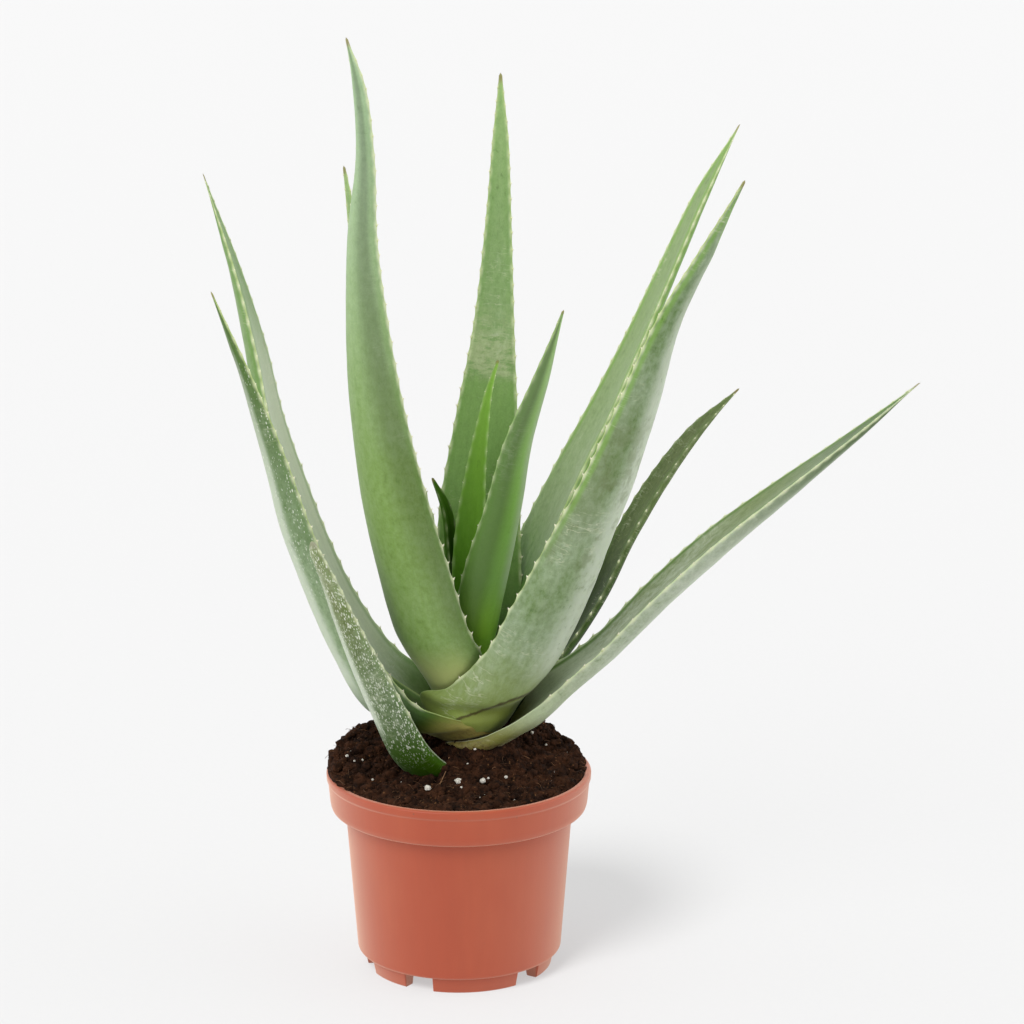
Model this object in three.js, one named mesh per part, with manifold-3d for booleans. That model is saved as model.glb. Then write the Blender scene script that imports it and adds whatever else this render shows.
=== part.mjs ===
// Potted aloe: a rosette of fleshy, toothed leaves growing in a plastic nursery pot.
//
// Millimetres, +Z up. The origin is the middle of the pot's underside, +Y points to the
// back of the plant and +X to the side that its lowest, longest leaf leans to.
// Every leaf is one solid with its teeth; pieces that touch keep CLEARANCE between them.

import * as THREE from "three";
import { mergeVertices } from "three/addons/utils/BufferGeometryUtils.js";
import Module from "manifold-3d";

const wasm = await Module();
wasm.setup();

// ---------------------------------------------------------------- driving dimensions

const CLEARANCE = 0.3;
const MERGE_DISTANCE = 0.001;

const POT = {
  height: 92,
  rimRadius: 60,
  bandHeight: 17,
  bandFootRadius: 58.3,
  bodyTopRadius: 51.5,
  bodyFootRadius: 46.4,
  footHeight: 7.8,
  footTopRadius: 43.6,
  footRadius: 42,
  wall: 1.8,
  rimLip: 2.6,
  floorTop: 9.8,
  footInnerRadius: 37,
  dishHeight: 7.4,
  padRadius: 15,
  notchInnerRadius: 35,
  notchHeight: 6.6,
  segments: 40,
};

// Gaps between the feet, as [first, last] angle in degrees, repeated every third of a turn.
const FOOT_NOTCHES = [
  [-33.9, -15.9],
  [38.1, 56.1],
];
const NOTCH_REPEATS = 3;

const SOIL = {
  rimLevel: 90.6,
  crownRise: 17,
  crownSpread: 30,
  collar: 0.8,
  collarLevel: 98,
  heapRise: 12,
  heapAzimuth: 155,
  heapSpread: 48,
  backRise: 9,
  backAzimuth: 55,
  backSpread: 34,
  lump: 0.9,
  rings: 8,
  segments: 40,
};

const STEM = {
  x: 5,
  y: 13,
  profile: [[0, 58], [9, 58], [12, 94], [11.4, 100], [8.5, 108], [5.5, 115], [2.4, 121], [0, 122]],
  segments: 14,
};

const LEAF = {
  around: 10,
  rings: 14,
  ringCrowding: 1.35,
  tipHalfWidth: 0.5,
  sheathEnd: 0.17,
  sheathThickness: 3.2,
  backShare: 0.62,
  marginSharpness: 1.3,
  upTilt: 0.4,
  marginPad: 2,
  sheathLevel: 0.9,
  hemInner: -0.5,
};

const TOOTH = { spacing: 18, length: 2.5, width: 2.4, thickness: 1.5, sunk: 1.5, seed: 7 };

// The leaves, innermost first: each later one wraps round those before it.
// azimuth: the way the leaf's back faces. root: [height, radius] of its middle line where it
// clasps the stem. path: [x, y, z, half-width flattened out] of the middle line, tip last.
// curl: half-angle of the cross-section's arc at the root, above the sheath and at the tip.
// fleshy: thickness as a share of the half-width, up to thickness. turn: twist at the tip.
// hem: how the margin on the side near moves where the sheath wraps its neighbours, as rows of
// [share of the length, x, y, z].
const LEAVES = [
  {
    name: "leaf_h", azimuth: 80, root: [120, 4], curl: [120, 60, 30], turn: 0,
    fleshy: 0.6, thickness: 5, teethFrom: 0.3, color: 0x4f8a34,
    path: [
      [6, 17, 150, 9.5], [5, 16, 175, 8.5], [6, 17, 200, 7.5], [8, 18, 225, 5], [11, 18, 247, 3],
      [14, 18, 264, 1.5], [18, 18, 278, 0.5],
    ],
  },
  {
    name: "leaf_j", azimuth: 157, root: [118, 5], curl: [120, 60, 30], turn: 0,
    fleshy: 0.6, thickness: 5, teethFrom: 0.35, color: 0x3f6d36,
    path: [
      [-2, 18, 150, 6], [-3, 19, 172, 5.5], [-4, 20, 190, 5], [-6, 20, 208, 4], [-12, 20, 223, 1],
    ],
  },
  {
    name: "leaf_i", azimuth: 308, root: [117, 6], curl: [115, 55, 25], turn: 0,
    fleshy: 0.55, thickness: 8, teethFrom: 0.2, color: 0x55883f,
    path: [
      [7, 4, 141, 14], [11, -2, 166, 13.5], [16, -8, 191, 13], [22, -14, 218, 10.5],
      [28, -20, 249, 8], [37, -25, 278, 4.8], [46.5, -29, 311, 0.5],
    ],
  },
  {
    name: "leaf_f", azimuth: 85, root: [113, 7], curl: [115, 40, 18], turn: 0,
    fleshy: 0.5, thickness: 9, teethFrom: 0.16, color: 0x6e9a62,
    path: [
      [9, 27, 140, 22], [9, 32, 170, 21], [10, 37, 205, 19], [13, 43, 245, 14.5],
      [16, 47, 285, 9.5], [18, 51, 330, 6], [19, 53, 370, 3.5], [19, 54, 401, 0.5],
    ],
  },
  {
    name: "leaf_d", azimuth: 233, root: [110, 9], curl: [110, 50, 20], turn: 0,
    fleshy: 0.55, thickness: 11, teethFrom: 0.1, color: 0x6f9f63,
    path: [
      [-6, 0, 131, 22.5], [-16, -12, 160, 22], [-23, -19, 189, 21], [-31, -27, 228, 18.5],
      [-37, -33, 270, 15], [-40, -37, 308, 11.5], [-41, -39, 344, 8], [-39, -40, 379, 5],
      [-41, -40, 409, 3.5], [-46, -40, 431, 0.5],
    ],
  },
  {
    name: "leaf_k", azimuth: 18, root: [110, 9], curl: [115, 50, 20], turn: 0,
    fleshy: 0.5, thickness: 10, teethFrom: 0.12, color: 0x6e9a62,
    path: [
      [18, 19, 130, 22], [26, 23, 156, 20], [39, 28, 188, 19], [52, 32, 218, 16.5],
      [68, 36, 251, 14], [82, 39, 283, 11], [96, 42, 316, 9], [110, 45, 348, 6.5],
      [126, 48, 379, 0.5],
    ],
  },
  {
    name: "leaf_e", azimuth: 133, root: [109, 10], curl: [115, 45, 20], turn: 0,
    fleshy: 0.5, thickness: 9, teethFrom: 0.15, color: 0x5f8d55,
    path: [
      [-6, 24, 130, 17], [-15, 33, 160, 14], [-23, 41, 195, 12.5], [-32, 48, 235, 9.5],
      [-40, 55, 275, 7.5], [-46, 60, 315, 4.5], [-52, 65, 357, 0.5],
    ],
  },
  {
    name: "leaf_g", azimuth: 316, root: [106, 12], curl: [115, 55, 20], turn: 0,
    fleshy: 0.5, thickness: 12, teethFrom: 0.1, color: 0x87a583,
    path: [
      [18, 3, 119, 46], [32, -8, 144, 26], [44, -18, 171, 23.5], [56, -27, 202, 20.5],
      [69, -36, 236, 17], [80, -44, 270, 13.5], [92, -52, 310, 8.5], [107, -58, 342, 5],
      [122, -62, 374, 0.5],
    ],
    near: 1,
    hem: [
      [0, 0, -3, 0], [0.02, 5, -7, -2], [0.04, 7, -6, -4], [0.06, 2, -1, -5],
      [0.08, -1.5, 0, -7], [0.1, 0, 0, -9.5], [0.12, 0, 0, -7], [0.14, 0, 0, -2.5],
      [0.18, 0, 0, 0], [1, 0, 0, 0],
    ],
  },
  {
    name: "leaf_l", azimuth: 22, root: [104, 11], curl: [115, 45, 20], turn: -4,
    fleshy: 0.55, thickness: 9, teethFrom: 0.2, color: 0x556b45,
    path: [
      [25, 23, 116, 14], [45, 34, 135, 10], [63, 44, 159, 9], [77, 53, 186, 9.5],
      [92, 61, 210, 9], [109, 69, 232, 6.5], [129, 76, 251, 0.5],
    ],
  },
  {
    name: "leaf_a", azimuth: 170, root: [104, 12.5], curl: [120, 50, 20], turn: 5,
    fleshy: 0.55, thickness: 10, teethFrom: 0.14, color: 0x6c9270,
    path: [
      [-17, 16, 114, 22], [-35, 17, 133, 17], [-53, 19, 160, 16], [-66, 21, 189, 15.5],
      [-76, 23, 217, 15.5], [-85, 25, 246, 15], [-91, 27, 280, 12], [-100, 29, 318, 6.5],
      [-113, 30, 360, 0.5],
    ],
  },
  {
    name: "leaf_b", azimuth: 214, root: [103, 13.5], curl: [120, 50, 20], turn: 2,
    fleshy: 0.55, thickness: 10, teethFrom: 0.14, color: 0x76997c,
    path: [
      [-15, 4, 111, 26], [-35, -8, 126, 19.5], [-50, -17, 153, 15.5], [-62, -23, 182, 13],
      [-72, -29, 212, 11.5], [-81, -34, 248, 8.5], [-92, -38, 285, 4.5], [-105, -42, 322, 0.5],
    ],
    near: -1,
    hem: [
      [0, 0, -4, 0], [0.03, 0, -9, 0], [0.06, 0, -9, -3], [0.085, 0, -7, -4.5], [0.11, 0, -4, -4],
      [0.15, 0, -1, -2], [0.2, 0, 0, 0], [1, 0, 0, 0],
    ],
  },
  {
    name: "leaf_m", azimuth: 5, root: [101, 16], curl: [132, 55, 25], turn: -6,
    fleshy: 0.6, thickness: 10, teethFrom: 0.12, color: 0x8aa585,
    path: [
      [27, 11, 110, 22], [43, 8, 126, 14], [65, 5, 145, 12.5], [88, 2, 170, 13.5],
      [114, -1, 196, 13.5], [143, -3, 221, 11], [174, -4, 247, 6], [204, -5, 273, 0.5],
    ],
    near: 1,
    hem: [
      [0, 0, -7, 7], [0.03, 0, -9, 2], [0.05, 0, -8, -1.5], [0.085, 0, -5, -4.5],
      [0.12, 0, -2, -4], [0.16, 0, 0, -2], [0.22, 0, 0, 0], [1, 0, 0, 0],
    ],
  },
  {
    name: "leaf_c", azimuth: 232, root: [80, 18], curl: [80, 50, 30], turn: 0,
    fleshy: 0.7, thickness: 8, teethFrom: 0.36, color: 0x6f8f74,
    path: [
      [-12, -8, 90, 14], [-23, -19, 105, 12.5], [-32, -27, 127, 10.5], [-41, -34, 150, 9],
      [-50, -40, 174, 6.5], [-57, -43, 194, 4.5], [-62, -46, 207, 3.2], [-63, -46, 212, 1.8],
    ],
  },
];

const GRAINS = [
  { name: "grain_a", x: 0, y: -24, size: 3.4 },
  { name: "grain_b", x: 11, y: -25.5, size: 2.6 },
  { name: "grain_c", x: -13.5, y: -32.5, size: 2.8 },
];

// ---------------------------------------------------------------- solids and meshes

function solidOf(geometry) {
  const bare = geometry.clone();
  bare.deleteAttribute("normal");
  bare.deleteAttribute("uv");
  const merged = mergeVertices(bare, MERGE_DISTANCE);
  const index = merged.index.array;
  const triangles = [];
  for (let i = 0; i < index.length; i += 3) {
    const [a, b, c] = [index[i], index[i + 1], index[i + 2]];
    if (a !== b && b !== c && c !== a) triangles.push(a, b, c);
  }
  return new wasm.Manifold(
    new wasm.Mesh({
      numProp: 3,
      vertProperties: new Float32Array(merged.attributes.position.array),
      triVerts: new Uint32Array(triangles),
    }),
  );
}

function largestBody(solid) {
  const bodies = solidOf(geometryOf(solid)).decompose();
  return bodies.reduce((best, body) => (body.volume() > best.volume() ? body : best));
}

function geometryOf(solid) {
  const mesh = solid.getMesh();
  const geometry = new THREE.BufferGeometry();
  geometry.setAttribute("position", new THREE.BufferAttribute(mesh.vertProperties, 3));
  geometry.setIndex(new THREE.BufferAttribute(mesh.triVerts, 1));
  geometry.computeVertexNormals();
  return geometry;
}

function meshOf(name, solid, color, roughness) {
  const material = new THREE.MeshStandardMaterial({ color, roughness, metalness: 0 });
  const mesh = new THREE.Mesh(geometryOf(solid), material);
  mesh.name = name;
  return mesh;
}

// ---------------------------------------------------------------- pot

function potInnerRadius(z) {
  const slope = (POT.bodyTopRadius - POT.bodyFootRadius) / (bandBottom() - POT.footHeight);
  return POT.bodyFootRadius + slope * (z - POT.footHeight) - POT.wall;
}

function bandBottom() {
  return POT.height - POT.bandHeight;
}

function potSolid() {
  const band = bandBottom();
  const shelf = band + POT.wall;
  const profile = [
    [0, 0],
    [POT.padRadius, 0],
    [POT.padRadius + 1.5, POT.dishHeight],
    [POT.footInnerRadius - 1.5, POT.dishHeight],
    [POT.footInnerRadius, 0],
    [POT.footRadius, 0],
    [POT.footTopRadius, POT.footHeight - 0.4],
    [POT.bodyFootRadius - 0.5, POT.footHeight],
    [POT.bodyFootRadius, POT.footHeight + 0.9],
    [POT.bodyTopRadius, band - 0.5],
    [POT.bandFootRadius - 0.5, band],
    [POT.bandFootRadius, band + 0.7],
    [POT.rimRadius - 0.3, POT.height - 1.2],
    [POT.rimRadius, POT.height - 0.8],
    [POT.rimRadius - 0.5, POT.height],
    [POT.rimRadius - POT.rimLip, POT.height],
    [POT.rimRadius - POT.rimLip - 0.3, POT.height - 0.8],
    [POT.bandFootRadius - POT.wall, shelf],
    [potInnerRadius(shelf), shelf],
    [potInnerRadius(POT.floorTop), POT.floorTop],
    [0, POT.floorTop],
  ];
  const points = profile.map(([r, z]) => new THREE.Vector2(r, z));
  const lathe = new THREE.LatheGeometry(points, POT.segments).rotateX(Math.PI / 2);
  let pot = solidOf(lathe);
  for (let turn = 0; turn < NOTCH_REPEATS; turn += 1) {
    for (const [first, last] of FOOT_NOTCHES) {
      const offset = (turn * 360) / NOTCH_REPEATS;
      pot = pot.subtract(notchSolid(first + offset, last + offset));
    }
  }
  return pot;
}

// A wedge under the foot ring, between two angles counted from the front towards +X.
function notchSolid(first, last) {
  const reach = POT.bodyFootRadius + 6;
  const inner = POT.notchInnerRadius;
  const shape = new THREE.Shape();
  const corner = (radius, degrees) => {
    const angle = THREE.MathUtils.degToRad(degrees - 90);
    return [radius * Math.cos(angle), radius * Math.sin(angle)];
  };
  shape.moveTo(...corner(inner, first));
  shape.lineTo(...corner(reach, first));
  shape.lineTo(...corner(reach, last));
  shape.lineTo(...corner(inner, last));
  shape.closePath();
  const block = new THREE.ExtrudeGeometry(shape, { depth: POT.notchHeight + 5, bevelEnabled: false });
  return solidOf(block.translate(0, 0, -5));
}

// ---------------------------------------------------------------- soil, stem and grains

function bump(angle, centre, spread) {
  const away = Math.abs(((angle - centre + 540) % 360) - 180) / spread;
  return Math.exp(-away * away);
}

function soilHeight(x, y) {
  const radius = Math.hypot(x, y);
  const angle = THREE.MathUtils.radToDeg(Math.atan2(y, x));
  const crown = Math.hypot(x - STEM.x, y - STEM.y) / SOIL.crownSpread;
  const outward = Math.min(1, radius / 46);
  const heap = SOIL.heapRise * bump(angle, SOIL.heapAzimuth, SOIL.heapSpread);
  const back = SOIL.backRise * bump(angle, SOIL.backAzimuth, SOIL.backSpread);
  const lumps = Math.sin(x * 0.47 + 1.3) * Math.cos(y * 0.53 - 0.4) + Math.sin(x * 0.9 - y * 0.7);
  const height =
    SOIL.rimLevel +
    SOIL.crownRise * Math.exp(-crown * crown) +
    outward * outward * (heap + back) +
    0.5 * SOIL.lump * lumps;
  return crown < SOIL.collar ? Math.min(height, SOIL.collarLevel) : height;
}

function soilBlank() {
  const shelf = bandBottom() + POT.wall + CLEARANCE;
  const floor = POT.floorTop + CLEARANCE;
  const rim = POT.rimRadius - POT.rimLip - 0.3 - CLEARANCE;
  const profile = [
    [0, floor],
    [potInnerRadius(floor) - CLEARANCE, floor],
    [potInnerRadius(shelf) - CLEARANCE, shelf],
    [POT.bandFootRadius - POT.wall - CLEARANCE, shelf],
    [rim - 0.2, POT.height - 4],
    [rim, POT.height - 3],
  ];
  for (let ring = 0; ring <= SOIL.rings; ring += 1) {
    profile.push([rim * Math.pow(1 - ring / SOIL.rings, 0.9), POT.height]);
  }
  const points = profile.map(([r, z]) => new THREE.Vector2(r, z));
  const lathe = new THREE.LatheGeometry(points, SOIL.segments).rotateX(Math.PI / 2);
  const position = lathe.attributes.position;
  for (let i = 0; i < position.count; i += 1) {
    if (position.getZ(i) > POT.height - 0.5) {
      position.setZ(i, soilHeight(position.getX(i), position.getY(i)));
    }
  }
  return solidOf(lathe);
}

function stemSolid(pad) {
  const points = STEM.profile.map(([r, z]) => {
    const end = z === STEM.profile[0][1] ? -pad : pad;
    return new THREE.Vector2(r === 0 ? 0 : r + pad, z + end);
  });
  const lathe = new THREE.LatheGeometry(points, STEM.segments).rotateX(Math.PI / 2);
  return solidOf(lathe.translate(STEM.x, STEM.y, 0));
}

function grainSolid(grain, pad) {
  const stone = new THREE.IcosahedronGeometry(grain.size / 2 + pad, 0);
  stone.rotateX(grain.x).rotateZ(grain.y);
  return solidOf(stone.translate(grain.x, grain.y, soilHeight(grain.x, grain.y) + 0.2 * grain.size));
}

// ---------------------------------------------------------------- leaves

function seededDraw(seed) {
  let state = seed;
  return () => {
    state = (state * 16807) % 2147483647;
    return state / 2147483647;
  };
}

function smooth(from, to, value) {
  return THREE.MathUtils.smoothstep(value, from, to);
}

// The middle line of a leaf, from where it clasps the stem to its tip, and its half-widths.
function leafLine(leaf) {
  const out = THREE.MathUtils.degToRad(leaf.azimuth);
  const [height, radius] = leaf.root;
  const rootHalfWidth = radius * THREE.MathUtils.degToRad(leaf.curl[0]);
  const rows = [
    [STEM.x + radius * Math.cos(out), STEM.y + radius * Math.sin(out), height, rootHalfWidth],
    ...leaf.path,
  ];
  return {
    curve: new THREE.CatmullRomCurve3(rows.map(([x, y, z]) => new THREE.Vector3(x, y, z))),
    widths: new THREE.SplineCurve(rows.map((row, i) => new THREE.Vector2(i, row[3]))),
  };
}

// How far the near margin is moved at a share t of the way from root to tip.
function hemAt(leaf, t) {
  if (!leaf.hem) return new THREE.Vector3();
  const moves = leaf.hem.map(([, x, y, z]) => new THREE.Vector3(x, y, z));
  const spans = leaf.hem.length - 1;
  const next = Math.max(1, leaf.hem.findIndex(([share]) => share >= t));
  const [from, to] = [leaf.hem[next - 1][0], leaf.hem[next][0]];
  const place = (next - 1 + (t - from) / (to - from)) / spans;
  return new THREE.CatmullRomCurve3(moves, false, "catmullrom").getPoint(place);
}

// What the cross-section is at a share t of the way from root to tip.
function leafSection(leaf, line, t) {
  const out = THREE.MathUtils.degToRad(leaf.azimuth);
  const tangent = line.curve.getTangentAt(t);
  const inward = new THREE.Vector3(-Math.cos(out), -Math.sin(out), LEAF.upTilt);
  const normal = inward.addScaledVector(tangent, -inward.dot(tangent)).normalize();
  normal.applyAxisAngle(tangent, THREE.MathUtils.degToRad(leaf.turn) * t);
  const across = new THREE.Vector3().crossVectors(tangent, normal).normalize();
  const sheath = 1 - smooth(0, LEAF.sheathEnd, t);
  const level = new THREE.Vector3(across.y, -across.x, 0).normalize();
  normal.lerp(level, LEAF.sheathLevel * sheath).normalize();
  const halfWidth = line.widths.getPoint(line.curve.getUtoTmapping(t)).y;
  const [curlRoot, curlMiddle, curlTip] = leaf.curl;
  const curl = THREE.MathUtils.lerp(curlMiddle, curlTip, t) + (curlRoot - curlMiddle) * sheath;
  const flesh = Math.min(leaf.thickness, leaf.fleshy * halfWidth);
  return {
    centre: line.curve.getPointAt(t),
    tangent,
    normal,
    across,
    halfWidth: Math.max(LEAF.tipHalfWidth, halfWidth),
    curl: THREE.MathUtils.degToRad(curl),
    thickness: THREE.MathUtils.lerp(flesh, Math.min(flesh, LEAF.sheathThickness), sheath),
    near: leaf.near ?? 1,
    hem: hemAt(leaf, t),
  };
}

// A point of the section: side runs from -1 to 1 across the leaf, lift off its middle sheet.
function sectionPoint(section, side, lift, target) {
  const radius = section.halfWidth / section.curl;
  const angle = side * section.curl;
  return target
    .copy(section.centre)
    .addScaledVector(section.across, (radius - lift) * Math.sin(angle))
    .addScaledVector(section.normal, radius - (radius - lift) * Math.cos(angle))
    .addScaledVector(section.hem, smooth(LEAF.hemInner, 1, side * section.near));
}

// The leaf without its teeth. Its root end is zipped shut along the section's middle arc and
// its tip runs to a point; both faces are split along the same diagonals. A pad moves the
// surface outward along its normals, further at the thin margins.
function leafBody(leaf, pad) {
  const line = leafLine(leaf);
  const rows = LEAF.rings + 2;
  const half = LEAF.around / 2;
  const tip = leafSection(leaf, line, 1);
  const point = new THREE.Vector3();
  const positions = [];
  for (let row = 0; row < rows; row += 1) {
    const share = Math.pow(Math.max(0, row - 1) / (LEAF.rings - 1), LEAF.ringCrowding);
    const section = leafSection(leaf, line, Math.min(0.995, share));
    for (let step = 0; step < LEAF.around; step += 1) {
      const angle = (step / LEAF.around) * 2 * Math.PI;
      const rise = row === 0 ? 0 : Math.abs(Math.sin(angle));
      const share = step < half ? LEAF.backShare : 1 - LEAF.backShare;
      const depth = section.thickness * share * Math.pow(rise, LEAF.marginSharpness);
      sectionPoint(section, Math.cos(angle), step < half ? -depth : depth, point);
      if (row === rows - 1) point.copy(tip.centre);
      positions.push(point.x, point.y, point.z);
    }
  }
  const index = [];
  for (let row = 0; row < rows - 1; row += 1) {
    for (let step = 0; step < LEAF.around; step += 1) {
      const [a, b] = [row * LEAF.around + step, row * LEAF.around + ((step + 1) % LEAF.around)];
      const [c, d] = [b + LEAF.around, a + LEAF.around];
      if (step < half) index.push(a, b, c, a, c, d);
      else index.push(a, b, d, b, c, d);
    }
  }
  let geometry = new THREE.BufferGeometry();
  geometry.setAttribute("position", new THREE.Float32BufferAttribute(positions, 3));
  geometry.setIndex(index);
  geometry = mergeVertices(geometry, MERGE_DISTANCE);
  geometry.computeVertexNormals();
  const { position, normal } = geometry.attributes;
  for (let i = 0; i < position.count; i += 1) {
    const step = i <= half ? i : (i - half - 1) % LEAF.around;
    const reach = step % half === 0 ? LEAF.marginPad * pad : pad;
    position.setXYZ(
      i,
      position.getX(i) + reach * normal.getX(i),
      position.getY(i) + reach * normal.getY(i),
      position.getZ(i) + reach * normal.getZ(i),
    );
  }
  return solidOf(geometry);
}

function leafTeeth(leaf, pad) {
  const line = leafLine(leaf);
  const length = line.curve.getLength();
  const draw = seededDraw(TOOTH.seed + leaf.azimuth);
  const teeth = [];
  for (const side of [-1, 1]) {
    let place = leaf.teethFrom * length + draw() * TOOTH.spacing;
    while (place < length * 0.965) {
      const t = place / length;
      teeth.push(toothSolid(leafSection(leaf, line, t), side, 1 - 0.62 * t, pad));
      place += TOOTH.spacing * (0.85 + 0.3 * draw()) * (1 - 0.25 * t);
    }
  }
  return teeth;
}

// One tooth: a slim three-sided cone that leans a little towards the leaf's tip.
function toothSolid(section, side, scale, pad) {
  const length = TOOTH.length * scale + TOOTH.sunk + 2 * pad;
  const cone = new THREE.ConeGeometry(1, length, 3);
  cone.translate(0, length / 2 - TOOTH.sunk - pad, 0);
  cone.scale((TOOTH.width * scale) / 1.7 + pad, 1, (TOOTH.thickness * scale) / 1.7 + pad);
  const outward = new THREE.Vector3()
    .addScaledVector(section.across, side * Math.cos(section.curl))
    .addScaledVector(section.normal, Math.sin(section.curl))
    .addScaledVector(section.tangent, 0.45)
    .normalize();
  const along = section.tangent.clone().addScaledVector(outward, -section.tangent.dot(outward)).normalize();
  const through = new THREE.Vector3().crossVectors(along, outward);
  const place = new THREE.Matrix4().makeBasis(along, outward, through);
  place.setPosition(sectionPoint(section, side, 0, new THREE.Vector3()));
  return solidOf(cone.applyMatrix4(place));
}

function leafSolid(leaf, pad) {
  return leafTeeth(leaf, pad).reduce((solid, tooth) => solid.add(tooth), leafBody(leaf, pad));
}

// ---------------------------------------------------------------- the plant in its pot

const plant = new THREE.Group();
const stemPad = stemSolid(CLEARANCE);
const grown = [];
let soil = soilBlank().subtract(stemPad);

for (const leaf of LEAVES) {
  const whole = leafSolid(leaf, 0);
  let solid = whole.subtract(stemPad);
  for (const inner of grown) solid = solid.subtract(inner);
  plant.add(meshOf(leaf.name, largestBody(solid), leaf.color, 0.5));
  const padded = leafSolid(leaf, CLEARANCE).add(whole);
  grown.push(padded);
  soil = soil.subtract(padded);
}
for (const grain of GRAINS) {
  plant.add(meshOf(grain.name, grainSolid(grain, 0), 0xe8e2d4, 0.8));
  soil = soil.subtract(grainSolid(grain, CLEARANCE));
}
plant.add(meshOf("soil", largestBody(soil), 0x3a241a, 0.95));
plant.add(meshOf("stem", stemSolid(0), 0x8a8a4e, 0.7));
plant.add(meshOf("pot", potSolid(), 0xc4694c, 0.5));

export default plant;
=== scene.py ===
"""Looks of a potted aloe: toothed, fleshy leaves in a plastic pot of peat.

The plant's own sizes are in millimetres; meshes and patterns are in metres. +Z is up and +Y is
the back of the plant.
"""

import logging
import math
import random
from dataclasses import dataclass, replace
from enum import Enum
from typing import Callable, Dict, List, Optional, Sequence, Tuple, Union

import bmesh
import bpy
import numpy as np
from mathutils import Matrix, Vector, noise


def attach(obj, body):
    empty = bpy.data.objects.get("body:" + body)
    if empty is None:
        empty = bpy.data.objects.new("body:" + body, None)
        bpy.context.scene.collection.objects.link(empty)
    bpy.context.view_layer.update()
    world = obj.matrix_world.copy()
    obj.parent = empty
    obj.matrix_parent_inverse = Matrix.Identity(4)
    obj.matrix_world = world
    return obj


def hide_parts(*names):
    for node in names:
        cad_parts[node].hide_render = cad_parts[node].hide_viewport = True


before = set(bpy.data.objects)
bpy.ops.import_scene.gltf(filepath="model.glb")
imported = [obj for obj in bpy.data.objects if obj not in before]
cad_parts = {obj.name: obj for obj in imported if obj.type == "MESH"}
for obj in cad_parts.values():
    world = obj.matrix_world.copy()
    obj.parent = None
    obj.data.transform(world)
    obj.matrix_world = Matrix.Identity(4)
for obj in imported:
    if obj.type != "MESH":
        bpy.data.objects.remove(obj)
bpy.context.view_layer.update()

log = logging.getLogger("aloe")

MM = 0.001
SKIN_MAP = "skin"
Colour = Tuple[float, float, float, float]
Row = Sequence[float]
Socket = bpy.types.NodeSocket
Material = bpy.types.Material
Object = bpy.types.Object


def srgb(red: int, green: int, blue: int) -> Colour:
    """Turns a display colour of 0 to 255 into the linear one a shader takes.

    Args:
        red: red share.
        green: green share.
        blue: blue share.

    Returns:
        The linear colour with an alpha of one.
    """

    def linear(channel: int) -> float:
        """One channel made linear."""
        share = channel / 255
        return share / 12.92 if share <= 0.04045 else ((share + 0.055) / 1.055) ** 2.4

    return (linear(red), linear(green), linear(blue), 1.0)


# ------------------------------ shader expressions


class Wire:
    """A node socket, and the book its nodes are written in."""

    def __init__(self, book: "NodeBook", socket: Socket) -> None:
        """Keeps both."""
        self.book, self.socket = book, socket


class Signal(Wire):
    """A socket that takes part in Python arithmetic as a number."""

    def _math(self, operation: str, *values: "Operand") -> "Signal":
        """Adds one Math node.

        Args:
            operation: Blender's name of the sum.
            values: numbers or signals, in socket order.

        Returns:
            The node's result.
        """
        return Signal(self.book, self.book.sum(operation, *values))

    def __add__(self, other: "Operand") -> "Signal":
        """Sum."""
        return self._math("ADD", self, other)

    __radd__ = __add__

    def __sub__(self, other: "Operand") -> "Signal":
        """Difference."""
        return self._math("SUBTRACT", self, other)

    def __rsub__(self, other: "Operand") -> "Signal":
        """Difference the other way round."""
        return self._math("SUBTRACT", other, self)

    def __mul__(self, other: "Operand") -> "Signal":
        """Product."""
        return self._math("MULTIPLY", self, other)

    __rmul__ = __mul__

    def least(self, other: "Operand") -> "Signal":
        """The smaller of the two."""
        return self._math("MINIMUM", self, other)

    def between(self, low: float, high: float) -> "Signal":
        """Eases from 0 to 1 as the value goes from low to high.

        Args:
            low: where it is 0.
            high: where it is 1, which may be the smaller of the two.

        Returns:
            The eased value.
        """
        backwards = low > high
        eased = Signal(self.book, self.book.wire(
            "ShaderNodeMapRange",
            {"interpolation_type": "SMOOTHSTEP", "clamp": True},
            {0: self, 1: min(low, high), 2: max(low, high), 3: 0.0, 4: 1.0},
        ))
        return 1 - eased if backwards else eased


class Tint(Wire):
    """A colour socket with the few sums that colours need."""

    def toward(self, other: Union["Tint", Colour], share: "Operand") -> "Tint":
        """Mixes in another colour.

        Args:
            other: the colour mixed in.
            share: how much of it, 0 to 1.

        Returns:
            The mixed colour.
        """
        return self.book.mix(share, self, other)

    def scaled(self, amount: "Operand") -> "Tint":
        """Makes the colour lighter or darker by a factor."""
        inputs = {0: self, "Scale": amount}
        return Tint(self.book, self.book.wire("ShaderNodeVectorMath", SCALED, inputs))


Operand = Union[Signal, float, int]
SCALED = {"operation": "SCALE"}


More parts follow.
